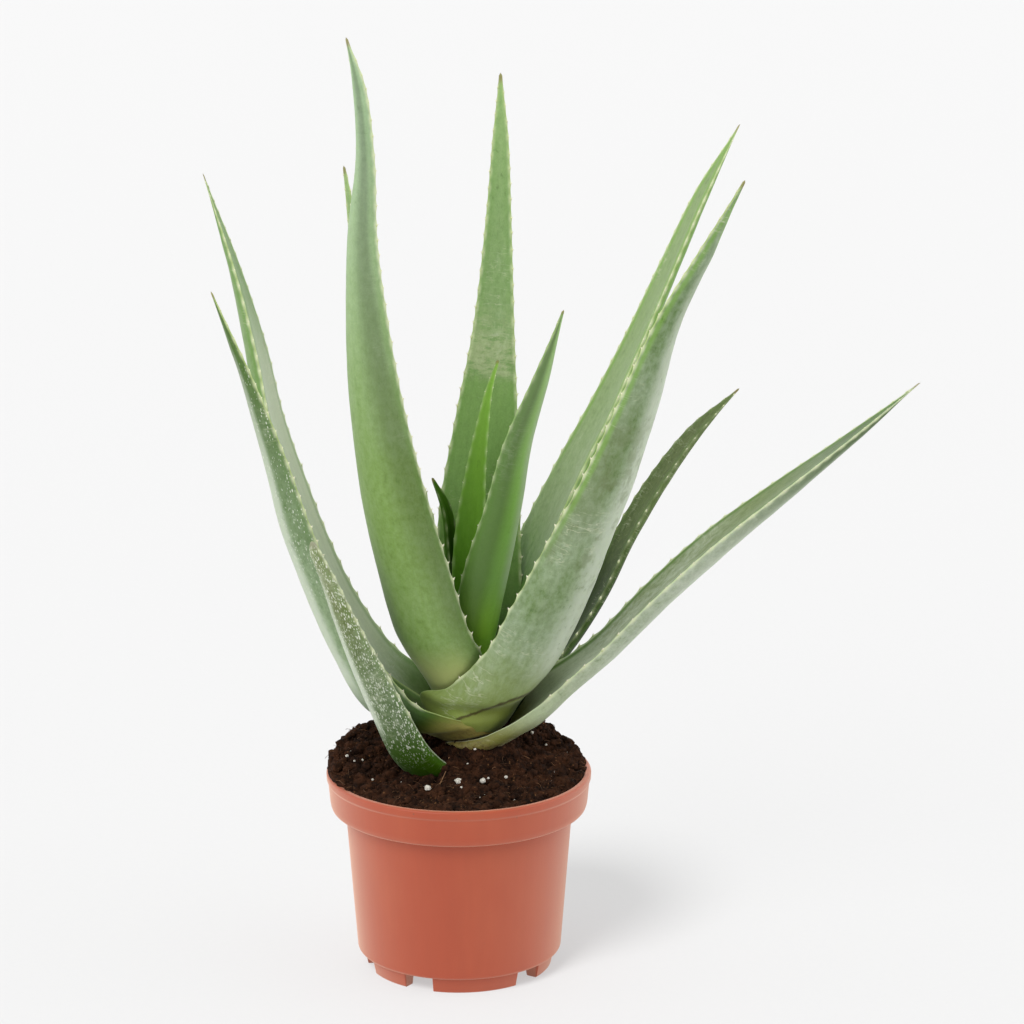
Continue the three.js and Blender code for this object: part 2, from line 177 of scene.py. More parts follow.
class NodeWriter:
    """Writes nodes into one tree."""

    def __init__(self, tree: bpy.types.NodeTree) -> None:
        """Keeps the tree."""
        self.tree = tree

    def place(
        self,
        kind: str,
        settings: Optional[Dict[str, object]] = None,
        inputs: Optional[Dict[Union[str, int], object]] = None,
    ) -> bpy.types.Node:
        """Adds a node, sets it and feeds its sockets.

        Args:
            kind: the node's type.
            settings: its properties.
            inputs: values, signals or sockets by socket name or number.

        Returns:
            The node.
        """
        node = self.tree.nodes.new(kind)
        for key, value in (settings or {}).items():
            setattr(node, key, value)
        for key, value in (inputs or {}).items():
            if isinstance(value, Wire):
                value = value.socket
            if isinstance(value, Socket):
                self.tree.links.new(value, node.inputs[key])
            else:
                node.inputs[key].default_value = value
        return node

    def wire(self, kind: str, *rest: Optional[Dict[Union[str, int], object]]) -> Socket:
        """The first output of a new node, made as place makes it."""
        return self.place(kind, *rest).outputs[0]

    def sum(self, operation: str, *values: Union["Operand", Socket]) -> Socket:
        """One Math node's result on numbers, signals or sockets."""
        return self.wire("ShaderNodeMath", {"operation": operation}, dict(enumerate(values)))


class NodeBook(NodeWriter):
    """Writes the nodes of one material or world."""

    def __init__(self, owner: Union[str, bpy.types.World]) -> None:
        """Clears the node tree it writes in.

        Args:
            owner: the name of a new material, or a world.
        """
        self.owner = bpy.data.materials.new(owner) if isinstance(owner, str) else owner
        self.owner.use_nodes = True
        super().__init__(self.owner.node_tree)
        self.tree.nodes.clear()

    def mix(
        self, share: Operand, first: Union[Tint, Colour], second: Union[Tint, Colour]
    ) -> Tint:
        """Mixes two colours.

        Args:
            share: 0 for the first, 1 for the second.
            first: a colour.
            second: a colour.

        Returns:
            The mixed colour.
        """
        ends = {0: share, 6: first, 7: second}
        return Tint(self, self.place("ShaderNodeMix", {"data_type": "RGBA"}, ends).outputs[2])

    def attribute(self, name: str) -> Signal:
        """A number stored on the mesh under that name."""
        node = self.place("ShaderNodeAttribute", {"attribute_name": name})
        return Signal(self, node.outputs["Fac"])

    def along_surface(self, across: float, along: float) -> Socket:
        """Coordinates that follow the surface.

        Args:
            across: repeats per metre across the leaf.
            along: repeats per metre along it.

        Returns:
            The coordinates' socket.
        """
        source = self.wire("ShaderNodeUVMap", {"uv_map": SKIN_MAP})
        return self._stretched(source, (across, along, 1.0))

    def in_space(self, x: float, y: float, z: float) -> Socket:
        """Object coordinates with each axis scaled, in repeats per metre."""
        source = self.place("ShaderNodeTexCoord").outputs["Object"]
        return self._stretched(source, (x, y, z))

    def _stretched(self, source: Socket, scale: Row) -> Socket:
        """Scales coordinates axis by axis."""
        return self.wire("ShaderNodeMapping", {}, {"Vector": source, "Scale": tuple(scale)})

    def cloud(self, vector: Socket, detail: float = 2.0, roughness: float = 0.5) -> Signal:
        """Soft noise of about 0.3 to 0.7.

        Args:
            vector: the coordinates.
            detail: how many finer layers it has.
            roughness: how strong they are.

        Returns:
            The noise.
        """
        inputs = {"Vector": vector, "Scale": 1.0, "Detail": detail, "Roughness": roughness}
        return Signal(self, self.wire("ShaderNodeTexNoise", {}, inputs))

    def cells(self, vector: Socket) -> Tuple[Signal, Signal]:
        """Scattered cells.

        Args:
            vector: the coordinates.

        Returns:
            The distance to the nearest cell's middle, and that cell's own random number.
        """
        inputs = {"Vector": vector, "Scale": 1.0, "Randomness": 1.0}
        node = self.place("ShaderNodeTexVoronoi", {"feature": "F1"}, inputs)
        own = self.wire("ShaderNodeSeparateColor", {}, {0: node.outputs["Color"]})
        return Signal(self, node.outputs["Distance"]), Signal(self, own)

    def relief(self, height: Signal, depth: float) -> Socket:
        """A bump.

        Args:
            height: 0 to 1.
            depth: what a height of one is, in metres.

        Returns:
            The normal's socket.
        """
        inputs = {"Height": height, "Distance": depth, "Strength": 1.0}
        return self.wire("ShaderNodeBump", {}, inputs)

    def finish(self, **inputs: object) -> Material:
        """Ends the material in a Principled shader.

        Args:
            inputs: its sockets by name, with _ for a space.

        Returns:
            The material.
        """
        named = {key.replace("_", " "): value for key, value in inputs.items()}
        shader = self.wire("ShaderNodeBsdfPrincipled", {}, named)
        self.place("ShaderNodeOutputMaterial", {}, {"Surface": shader})
        return self.owner


# ------------------------------ finishes


class Wear(Enum):
    """How weathered a leaf's skin is."""

    YOUNG = 0.15
    GROWN = 0.55
    OLD = 1.0


# Patterns in a leaf's skin: repeats per metre across it and along it.
PATCHES = (42, 15)
SPOTS = (430, 230)
GRAIN = (1700, 1000)
STREAKS = (620, 8)
BANDS = (110, 260)
RUBS = (75, 48)
CRUST = (420, 300)
SCRATCHES = (46, 210)
BLEMISHES = (110, 52)
FLECK_BANDS = (190, 110)
# Small flecks and large ones: their repeats, and how much rarer they are.
FLECKS = (((2300, 700), 0.0), ((1300, 430), 0.1))

# Colours of the marks that a leaf may carry; LIT_COLOUR is painted light.
BAND_COLOUR = srgb(176, 188, 144)
LIT_COLOUR = srgb(204, 213, 194)
RUB_COLOUR = srgb(98, 112, 66)
BLUSH_COLOUR = srgb(196, 206, 132)
FLECK_COLOUR = srgb(230, 234, 218)
KNOT_COLOUR = srgb(222, 228, 188)
SCAR_COLOUR = srgb(132, 108, 58)
CRUST_COLOUR = srgb(66, 44, 22)
BARE_COLOUR = srgb(198, 206, 184)
SPECK_COLOUR = srgb(74, 104, 50)
SCRATCH_COLOUR = srgb(206, 210, 180)
BLEMISH_COLOUR = srgb(124, 112, 66)
CLASPED_COLOUR = srgb(124, 136, 62)
CLASP_LINE_COLOUR = srgb(58, 38, 20)
WAX_TINT = (0.86, 0.95, 0.84, 1.0)

# The way up along a leaf that leans back by 15 degrees, as shares of y and z.
LEANING_UP = (0.263, 0.965)


@dataclass(frozen=True)
class LeafFinish:
    """Waxy leaf skin: green flesh, pale bloom, pale margins, flecks and a dry tip.

    Spans and ends are shares of the leaf's length, and a side runs from -1 at one margin to 1
    at the other. The rest are colours, or strengths from 0 to 1.

    Attributes:
        foot, green, top, base: colours at the foot, above it, at the tip and at the very root.
        bloom, bloom_share, bloom_at_tip: pale bloom, how much, and how much stays at the tip.
        top_from: where the tip's colour starts.
        inner, inner_ends: colour of the inner face, and where it fades out.
        mottle, banding, smudge: unevenness, pale bands across the middle, and olive rubs.
        flecks, fleck_span: pale flecks, and where they lie.
        dry, dry_tip_mm, wear: the dry tip, and how weathered the rest is.
        foot_span: where the foot's colour gives way to the green.
        blush, scar, crease_shade: pale patch at the foot, crust at the root, and painted shade
            down the leaf and beside its foot.
        shaded, shaded_side: painted shade on one side, and where it deepens.
        lit, lit_side: painted light that pales one side of the back, and where it grows.
        knots, margin, margin_share: pale knots under the teeth, and the margin's line.
        rib, rib_share, rib_span, rib_inside: green strip along the margin.
        sheen, gloss: waxy sheen and shine.
        clasp: start, height and slope in millimetres of the line under which it looks like
            a neighbour's sheath.
    """

    foot: Colour
    green: Colour
    top: Colour
    bloom: Colour
    bloom_share: float = 0.35
    bloom_at_tip: float = 1.0
    top_from: float = 0.4
    base: Optional[Colour] = None
    inner: Optional[Colour] = None
    inner_ends: Tuple[float, float] = (0.85, 0.6)
    mottle: float = 0.3
    banding: float = 0.0
    smudge: float = 0.0
    flecks: float = 0.0
    fleck_span: Tuple[float, float] = (0.18, 1.3)
    dry: Colour = srgb(138, 122, 84)
    dry_tip_mm: float = 6.0
    wear: Wear = Wear.GROWN
    foot_span: Tuple[float, float] = (0.0, 0.14)
    blush: float = 0.0
    scar: float = 0.0
    crease_shade: float = 0.0
    shaded: float = 0.0
    shaded_side: Tuple[float, float] = (-0.15, 0.5)
    lit: float = 0.0
    lit_side: Tuple[float, float] = (0.4, -0.15)
    knots: float = 0.75
    margin: Colour = srgb(168, 190, 118)
    margin_share: float = 0.8
    rib: Colour = srgb(96, 142, 50)
    rib_share: float = 0.15
    rib_span: Tuple[float, float] = (-0.1, 0.0)
    rib_inside: bool = False
    sheen: float = 0.22
    gloss: float = 0.22
    clasp: Optional[Tuple[float, float, float]] = None

    def material(self, name: str) -> Material:
        """Builds the skin under that name."""
        return LeafSkin(self, name).paint()


class LeafSkin:
    """Lays the coats of one leaf's skin over each other, as its finish says."""

    def __init__(self, finish: LeafFinish, name: str) -> None:
        """Starts from the numbers stored on the leaf and from its patterns.

        Args:
            finish: the leaf's colours and marks.
            name: the material's name.
        """
        self.finish = finish
        self.book = NodeBook(name)
        self.share, self.edge, self.tip, self.inside, self.knot, self.side = (
            self.book.attribute(mask)
            for mask in ("share", "edge", "tip", "inside", "knot", "side")
        )
        self.patches = self._pattern(PATCHES, 4, 0.6)
        self.spots = self._pattern(SPOTS, 3, 0.65)
        self.grain = self._pattern(GRAIN, 2, 0.6)
        self.streaks = self._pattern(STREAKS, 2, 0.55)
        self.colour = self.book.mix(
            self.share.between(*finish.foot_span), finish.foot, finish.green
        )

    def _pattern(self, repeats: Tuple[int, int], detail: float, roughness: float) -> Signal:
        """Soft noise that follows the leaf's surface."""
        return self.book.cloud(self.book.along_surface(*repeats), detail, roughness)

    def _coat(self, colour: Colour, share: Operand) -> None:
        """Lays a colour over the skin, 0 for none of it to 1 for nothing else."""
        self.colour = self.colour.toward(colour, share)

    def _over_foot(self, low: float, high: float) -> Signal:
        """Eases in between two shares of the length, counted from where the green begins."""
        green_from = self.finish.foot_span[0]
        return self.share.between(low + green_from, high + green_from)

    def paint(self) -> Material:
        """Lays every coat, the lowest first.

        Returns:
            The material.
        """
        self._flesh()
        haze = self._bloom()
        self._bands()
        self._tones()
        self._painted_shade()
        self._painted_light()
        self._rubs()
        self._blush()
        self._rib()
        self._wear()
        self._flecks()
        self._margins()
        self._scar()
        self._clasp_line()
        dry = self._dry_tip()
        height = self.grain * 0.4 + self.spots * 0.5 + self.streaks * 0.6
        return self.book.finish(
            Base_Color=self.colour,
            Roughness=0.42 + self.grain * 0.12 + haze * 0.3 + dry * 0.2,
            Normal=self.book.relief(height, 0.00016),
            Subsurface_Weight=0.12,
            Subsurface_Radius=(0.004, 0.006, 0.002),
            Subsurface_Scale=0.5,
            Specular_IOR_Level=self.finish.gloss,
            Sheen_Weight=self.finish.sheen,
            Sheen_Roughness=0.35,
            Sheen_Tint=WAX_TINT,
        )

    def _flesh(self) -> None:
        """Lays the colours of the tip, the root and the inner face."""
        finish, share = self.finish, self.share
        self._coat(finish.top, share.between(finish.top_from, 1.0))
        if finish.base is not None:
            self._coat(finish.base, share.between(0.13, 0.05))
        if finish.inner is not None:
            faded = share.between(*finish.inner_ends)
            self._coat(finish.inner, self.inside * self._over_foot(0.08, 0.22) * faded)

    def _bloom(self) -> Signal:
        """Lays the pale bloom in patches.

        Returns:
            How much bloom there is, 0 to 1.
        """
        finish, share = self.finish, self.share
        green_from = finish.foot_span[0]
        haze = self.patches.between(0.36, 0.64) * 0.62 + self.spots.between(0.35, 0.65) * 0.38
        lost = share.between(0.4, 0.75) * (1 - finish.bloom_at_tip)
        haze = haze * finish.bloom_share * (1 - lost)
        haze = haze * share.between(0.02 + green_from * 0.8, 0.16 + green_from)
        self._coat(finish.bloom, haze)
        return haze

    def _bands(self) -> None:
        """Lays pale bands across the middle, with a clear lower end."""
        if self.finish.banding > 0:
            bands = self._pattern(BANDS, 4, 0.7).between(0.34, 0.58)
            upper = (self.share + (self.patches - 0.5) * 0.12).between(0.68, 0.56)
            middle = upper * self.share.between(0.515, 0.54)
            self._coat(BAND_COLOUR, bands * middle * self.finish.banding)

    def _tones(self) -> None:
        """Mottles, grains and streaks the colour."""
        mottle = self.finish.mottle
        tone = 1 + (self.spots - 0.5) * mottle + (self.grain - 0.5) * mottle
        self.colour = self.colour.scaled(tone + (self.streaks - 0.5) * 0.14)

    def _painted_shade(self) -> None:
        """Paints shade: a band down the leaf, a strip beside its foot, and one darker side."""
        finish, share, side = self.finish, self.share, self.side
        # Painted shade: a dark band down the leaf and a dark strip beside its foot.
        if finish.crease_shade > 0:
            away = side + 1.31 - share * 1.2
            fold_shade = away.between(0.75, 0.1) * away.between(-0.4, -0.05) * share.between(0.1, 0.2)
            foot_shade = side.between(0.0, 0.5) * share.between(0.34, 0.2) * share.between(0.02, 0.1)
            self.colour = self.colour.scaled(1 - (fold_shade + foot_shade) * finish.crease_shade)
        # Painted shade over one side of the leaf.
        if finish.shaded > 0:
            self.colour = self.colour.scaled(1 - side.between(*finish.shaded_side) * finish.shaded)

    def _painted_light(self) -> None:
        """Paints light: pales the side of the back that faces the light."""
        if self.finish.lit > 0:
            # Painted light on the side of the back turned to the light.
            pale = self.side.between(*self.finish.lit_side) * self._over_foot(0.06, 0.16)
            pale = pale * self.share.between(1.05, 0.6)
            self._coat(LIT_COLOUR, pale * (1 - self.inside) * self.finish.lit)

    def _rubs(self) -> None:
        """Lays olive smudges where the leaf was rubbed, most of them on one side."""
        if self.finish.smudge > 0:
            share = self.share
            rubs = self._pattern(RUBS, 4, 0.66).between(0.5, 0.62)
            rubbed_side = self.side.between(0.2, 0.5) * share.between(0.36, 0.44)
            rubs = (rubs * 0.7 + rubbed_side * 0.5).least(1.0)
            rubs = rubs * share.between(0.22, 0.36) * share.between(0.72, 0.5)
            self._coat(RUB_COLOUR, rubs * self.finish.smudge)

    def _blush(self) -> None:
        """Lays the yellow-white patch at the foot, clear of the margins."""
        if self.finish.blush > 0:
            low = self.share.between(0.02, 0.07) * self.share.between(0.17, 0.08)
            self._coat(BLUSH_COLOUR, low * self.edge.between(3.0, 14.0) * self.finish.blush)

    def _rib(self) -> None:
        """Lays the green strip beside the margin."""
        strip = self.edge.between(0.7, 1.5) * self.edge.between(4.4, 2.2)
        if self.finish.rib_inside:
            strip = strip * self.inside
        strip = strip * self.share.between(*self.finish.rib_span)
        self._coat(self.finish.rib, strip * self.finish.rib_share)

    def _wear(self) -> None:
        """Lays rubbed places, dark specks, fine scratches and dry blemishes."""
        patches, spots, amount = self.patches, self.spots, self.finish.wear.value
        bare = patches.between(0.56, 0.72) * spots.between(0.42, 0.6) * amount
        self._coat(BARE_COLOUR, bare * 0.5)
        specks = spots.between(0.42, 0.3) * patches.between(0.5, 0.4) * (0.35 + 0.5 * amount)
        self._coat(SPECK_COLOUR, specks * 0.5)
        line = self._pattern(SCRATCHES, 3, 0.55) - 0.5
        scratches = (line * line).between(0.00016, 0.0) * patches.between(0.5, 0.62) * amount
        self._coat(SCRATCH_COLOUR, scratches * 0.5)
        near, lot = self.book.cells(self.book.along_surface(*BLEMISHES))
        blemishes = near.between(0.15, 0.05) * lot.between(0.93, 0.96) * amount
        self._coat(BLEMISH_COLOUR, blemishes * 0.7)

    def _flecks(self) -> None:
        """Lays pale lens-shaped flecks along the leaf, in loose cross bands."""
        finish, share = self.finish, self.share
        if finish.flecks <= 0:
            return
        bands = self._pattern(FLECK_BANDS, 4, 0.65)
        marks: Operand = 0.0
        for repeats, rarer in FLECKS:
            near, lot = self.book.cells(self.book.along_surface(*repeats))
            few = 0.74 - 0.5 * finish.flecks + rarer
            kept = (lot + (bands - 0.5) * 1.6).between(few, few + 0.16)
            marks = near.between(0.42, 0.2) * kept + marks
        gathered = 0.6 + 0.4 * self.edge.between(6.0, 2.0)
        first, last = finish.fleck_span
        spread = share.between(first, first + 0.12) * share.between(last, last - 0.2)
        self._coat(FLECK_COLOUR, (marks * gathered * spread).least(1.0) * 0.85)

    def _margins(self) -> None:
        """Lays the margin's line and the pale knots under the teeth."""
        self._coat(self.finish.margin, self.edge.between(0.9, 0.25) * self.finish.margin_share)
        self._coat(KNOT_COLOUR, self.knot * self.edge.between(1.9, 0.7) * self.finish.knots)

    def _scar(self) -> None:
        """Lays the brown skin and the crust at the root."""
        if self.finish.scar > 0:
            torn = (self.share + (self.spots - 0.5) * 0.06).between(0.06, 0.01)
            self._coat(SCAR_COLOUR, torn * self.finish.scar)
            crust = self._pattern(CRUST, 3, 0.7).between(0.48, 0.62)
            self._coat(CRUST_COLOUR, crust * self.share.between(0.06, 0.02) * self.finish.scar)

    def _clasp_line(self) -> None:
        """Lays the neighbour's sheath and the dark line where it ends."""
        if self.finish.clasp is None:
            return
        start, height, slope = self.finish.clasp
        back, up = LEANING_UP
        place = self.book.in_space(1 / MM, 1 / MM, 1 / MM)
        split = self.book.place("ShaderNodeSeparateXYZ", {}, {0: place})
        x, y, z = (Signal(self.book, socket) for socket in split.outputs)
        over = z * up + y * back - (x - start) * slope - height + (self.spots - 0.5) * 1.6
        self._coat(CLASPED_COLOUR, over.between(0.6, -0.6) * 0.85)
        self._coat(CLASP_LINE_COLOUR, over.between(-1.2, -0.2) * over.between(1.0, 0.2) * 0.8)

    def _dry_tip(self) -> Signal:
        """Lays the dry tip.

        Returns:
            How dry the skin is, 0 to 1.
        """
        reach = self.finish.dry_tip_mm
        dry = (self.tip + (self.patches - 0.5) * reach).between(reach, reach * 0.3)
        self._coat(self.finish.dry, dry * 0.8)
        return dry


@dataclass(frozen=True)
class ToothFinish:
    """Horny teeth: green-white at the foot, straw-coloured at the point."""

    foot: Colour = srgb(190, 206, 140)
    point: Colour = srgb(236, 232, 206)

    def material(self, name: str) -> Material:
        """Builds the horn.

        Args:
            name: the material's name.

        Returns:
            The material.
        """
        book = NodeBook(name)
        rise = book.attribute("rise")
        mottle = book.cloud(book.in_space(900, 900, 900), 1)
        horn = book.mix(rise.between(0.1, 0.6), self.foot, self.point)
        horn = horn.scaled(0.9 + mottle * 0.2)
        return book.finish(Base_Color=horn, Roughness=0.35 + mottle * 0.2)


@dataclass(frozen=True)
class PlasticFinish:
    """Moulded terracotta-coloured plastic with a soft sheen and a little dust."""

    body: Colour = srgb(169, 65, 30)
    dull: Colour = srgb(180, 83, 47)
    dust: Colour = srgb(120, 74, 54)

    def material(self, name: str) -> Material:
        """Builds the plastic.

        Args:
            name: the material's name.

        Returns:
            The material.
        """
        book = NodeBook(name)
        clouds = book.cloud(book.in_space(26, 26, 14), 3, 0.55)
        fine = book.cloud(book.in_space(2600, 2600, 2600), 2)
        drawn = book.cloud(book.in_space(260, 260, 9), 2)
        split = book.place("ShaderNodeSeparateXYZ", {}, {0: book.in_space(1, 1, 1)})
        height = Signal(book, split.outputs["Z"])
        tone = book.mix(clouds.between(0.42, 0.72) * 0.4, self.body, self.dull)
        tone = tone.scaled(0.95 + drawn * 0.1)
        specks, lot = book.cells(book.in_space(420, 420, 420))
        rim = height.between(0.080, 0.0915)
        dirt = specks.between(0.22, 0.08) * lot.between(0.8, 0.9) * (0.12 + rim * 0.7)
        smear = clouds.between(0.6, 0.75) * rim * 0.25
        tone = tone.toward(self.dust, (dirt + smear).least(0.8))
        rough = 0.34 + clouds * 0.1 + fine * 0.08 + dirt * 0.3
        return book.finish(
            Base_Color=tone,
            Roughness=rough,
            Normal=book.relief(fine * 0.6 + drawn * 0.4, 0.00005),
            Specular_IOR_Level=0.5,
            Sheen_Weight=0.75,
            Sheen_Roughness=0.5,
            Sheen_Tint=(1.0, 0.72, 0.54, 1.0),
        )


@dataclass(frozen=True)
class PeatFinish:
    """Damp dark peat: nearly black in the hollows, brown on the crumbs."""

    deep: Colour = srgb(20, 11, 7)
    crumb: Colour = srgb(77, 47, 30)
    husk: Colour = srgb(130, 92, 58)

    def material(self, name: str) -> Material:
        """Builds the peat.

        Args:
            name: the material's name.

        Returns:
            The material.
        """
        book = NodeBook(name)
        lumps = book.cloud(book.in_space(160, 160, 160), 4, 0.65)
        crumbs = book.cloud(book.in_space(620, 620, 620), 4, 0.75)
        near, lot = book.cells(book.in_space(520, 520, 520))
        dry = lumps.between(0.36, 0.66) * 0.6 + crumbs.between(0.4, 0.7) * 0.4
        tone = book.mix(dry, self.deep, self.crumb)
        tone = tone.toward(self.husk, near.between(0.3, 0.1) * lot.between(0.72, 0.85) * 0.6)
        bumps = crumbs * 0.7 + lumps * 0.6 + near * 0.3
        return book.finish(
            Base_Color=tone,
            Roughness=0.82 + crumbs * 0.15,
            Normal=book.relief(bumps, 0.0012),
            Specular_IOR_Level=0.1,
        )


@dataclass(frozen=True)
class GrainyFinish:
    """Two colours in soft noise, which roughens the surface too.

    Attributes:
        first, second: the colours.
        ends: noise values at which each of them is alone.
        repeats: the noise's repeats per metre on each axis.
        layers: how many finer layers it has, and how strong they are.
        roughness: the least, and what the noise adds.
        depth: height of its bumps in metres.
    """

    first: Colour
    second: Colour
    ends: Tuple[float, float]
    repeats: Tuple[float, float, float]
    layers: Tuple[float, float]
    roughness: Tuple[float, float]
    depth: float = 0.0

    def material(self, name: str) -> Material:
        """Builds the material.

        Args:
            name: its name.

        Returns:
            The material.
        """
        book = NodeBook(name)
        grain = book.cloud(book.in_space(*self.repeats), *self.layers)
        least, added = self.roughness
        bumps = {"Normal": book.relief(grain, self.depth)} if self.depth > 0 else {}
        return book.finish(
            Base_Color=book.mix(grain.between(*self.ends), self.first, self.second),
            Roughness=least + grain * added,
            **bumps,
        )


WHITE_MINERAL = GrainyFinish(
    srgb(232, 228, 218), srgb(176, 168, 152), (0.55, 0.35), (1800, 1800, 1800), (3, 0.7),
    (0.9, 0.1), 0.0004,
)
DRY_FIBRE = GrainyFinish(
    srgb(52, 32, 20), srgb(122, 84, 52), (0.35, 0.65), (260, 260, 260), (2, 0.5), (0.7, 0.2)
)
PALE_ROOT = replace(DRY_FIBRE, first=srgb(128, 92, 60), second=srgb(176, 136, 96))
STEM_SKIN = GrainyFinish(
    srgb(120, 128, 62), srgb(92, 66, 38), (0.42, 0.62), (60, 60, 420), (3, 0.6), (0.6, 0.3),
    0.0006,
)


# ------------------------------ meshes


MERGE_DISTANCE = 2e-6
NO_LENGTH = 1e-8


def place_object(name: str, data: bpy.types.ID) -> Object:
    """Adds an object to the scene, at the origin.

    Args:
        name: its name.
        data: its mesh, light or camera.

    Returns:
        The object.
    """
    placed = bpy.data.objects.new(name, data)
    bpy.context.scene.collection.objects.link(placed)
    return placed


def mesh_object(
    name: str, points: np.ndarray, faces: Sequence[Sequence[int]], edges: Sequence[Row] = ()
) -> Object:
    """Makes a smooth-shaded mesh object at the origin.

    Args:
        name: the object's name.
        points: its points in metres.
        faces: its faces.
        edges: its edges, where it has no faces.

    Returns:
        The object.
    """
    mesh = bpy.data.meshes.new(name)
    corners = [tuple(int(i) for i in face) for face in faces]
    mesh.from_pydata([tuple(point) for point in points], list(edges), corners)
    mesh.validate()
    mesh.polygons.foreach_set("use_smooth", [True] * len(mesh.polygons))
    return place_object(name, mesh)


def stone_object(name: str, work: bmesh.types.BMesh) -> Object:
    """Turns finished mesh work into a smooth-shaded object.

    Args:
        name: the object's name.
        work: the mesh work, which is freed.

    Returns:
        The object.
    """
    mesh = bpy.data.meshes.new(name)
    work.to_mesh(mesh)
    work.free()
    mesh.polygons.foreach_set("use_smooth", [True] * len(mesh.polygons))
    return place_object(name, mesh)


def merge_doubles(piece: Object) -> None:
    """Joins points that coincide and removes faces left without an area.

    Args:
        piece: the object.
    """
    work = bmesh.new()
    work.from_mesh(piece.data)
    bmesh.ops.remove_doubles(work, verts=work.verts, dist=MERGE_DISTANCE)
    bmesh.ops.dissolve_degenerate(work, edges=work.edges, dist=NO_LENGTH)
    work.to_mesh(piece.data)
    work.free()
    piece.data.update()


def store(piece: Object, name: str, values: np.ndarray) -> None:
    """Stores numbers or vectors on a piece's points.

    Args:
        piece: the object.
        name: what they are stored under.
        values: one number, or one vector, per point.
    """
    vector = np.ndim(values) > 1
    layer = piece.data.attributes.new(name, "FLOAT_VECTOR" if vector else "FLOAT", "POINT")
    data = np.ascontiguousarray(values, dtype=np.float32).ravel()
    layer.data.foreach_set("vector" if vector else "value", data)


def lathe(
    name: str, profile_at: Callable[[float], List[Tuple[float, float]]], angles: Sequence[float]
) -> Object:
    """Turns a profile round the Z axis; the profile may change with the angle.

    Args:
        name: the object's name.
        profile_at: gives the (radius, height) points in millimetres for a column's number.
        angles: the columns' angles in radians, in order round the axis.

    Returns:
        The object, closed and with its faces outwards where the profile runs from the
        underside outwards and up.
    """
    columns = []
    for number, angle in enumerate(angles):
        profile = profile_at(number)
        columns.append([(r * math.cos(angle), r * math.sin(angle), z) for r, z in profile])
    points = np.array(columns) * MM
    count, rows = points.shape[:2]
    faces = []
    for i in range(count):
        j = (i + 1) % count
        for k in range(rows - 1):
            faces.append((i * rows + k, j * rows + k, j * rows + k + 1, i * rows + k + 1))
    piece = mesh_object(name, points.reshape(-1, 3), faces)
    merge_doubles(piece)
    return piece


def rounded(
    corners: Sequence[Tuple[float, float, float]], steps: int = 4
) -> List[Tuple[float, float]]:
    """Rounds the corners of a profile.

    Args:
        corners: (radius, height, fillet) in millimetres, the fillet 0 where it stays sharp.
        steps: points on each fillet.

    Returns:
        The rounded profile.
    """
    points: List[Tuple[float, float]] = []
    for n, (r, z, fillet) in enumerate(corners):
        here = Vector((r, z))
        if fillet <= 0 or n in (0, len(corners) - 1):
            points.append((r, z))
            continue
        back = Vector(corners[n - 1][:2]) - here
        ahead = Vector(corners[n + 1][:2]) - here
        reach = min(fillet, 0.45 * back.length, 0.45 * ahead.length)
        first, last = here + back.normalized() * reach, here + ahead.normalized() * reach
        for step in range(steps + 1):
            t = step / steps
            point = first * (1 - t) ** 2 + here * 2 * t * (1 - t) + last * t**2
            points.append((point.x, point.y))
    return points


def clad(piece: Object, material: Material, slot: str, *nodes: str) -> None:
    """Gives a finished piece its material and its place in the frame.

    Args:
        piece: the object.
        material: its finish.
        slot: the name of a material slot; not used.
        nodes: the CAD nodes it stands for.
    """
    if material.name not in piece.data.materials:
        piece.data.materials.append(material)
    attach(piece, "root")
    if nodes:
        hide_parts(*nodes)
    log.info("%s: %d faces", piece.name, len(piece.data.polygons))


# ------------------------------ geometry trees


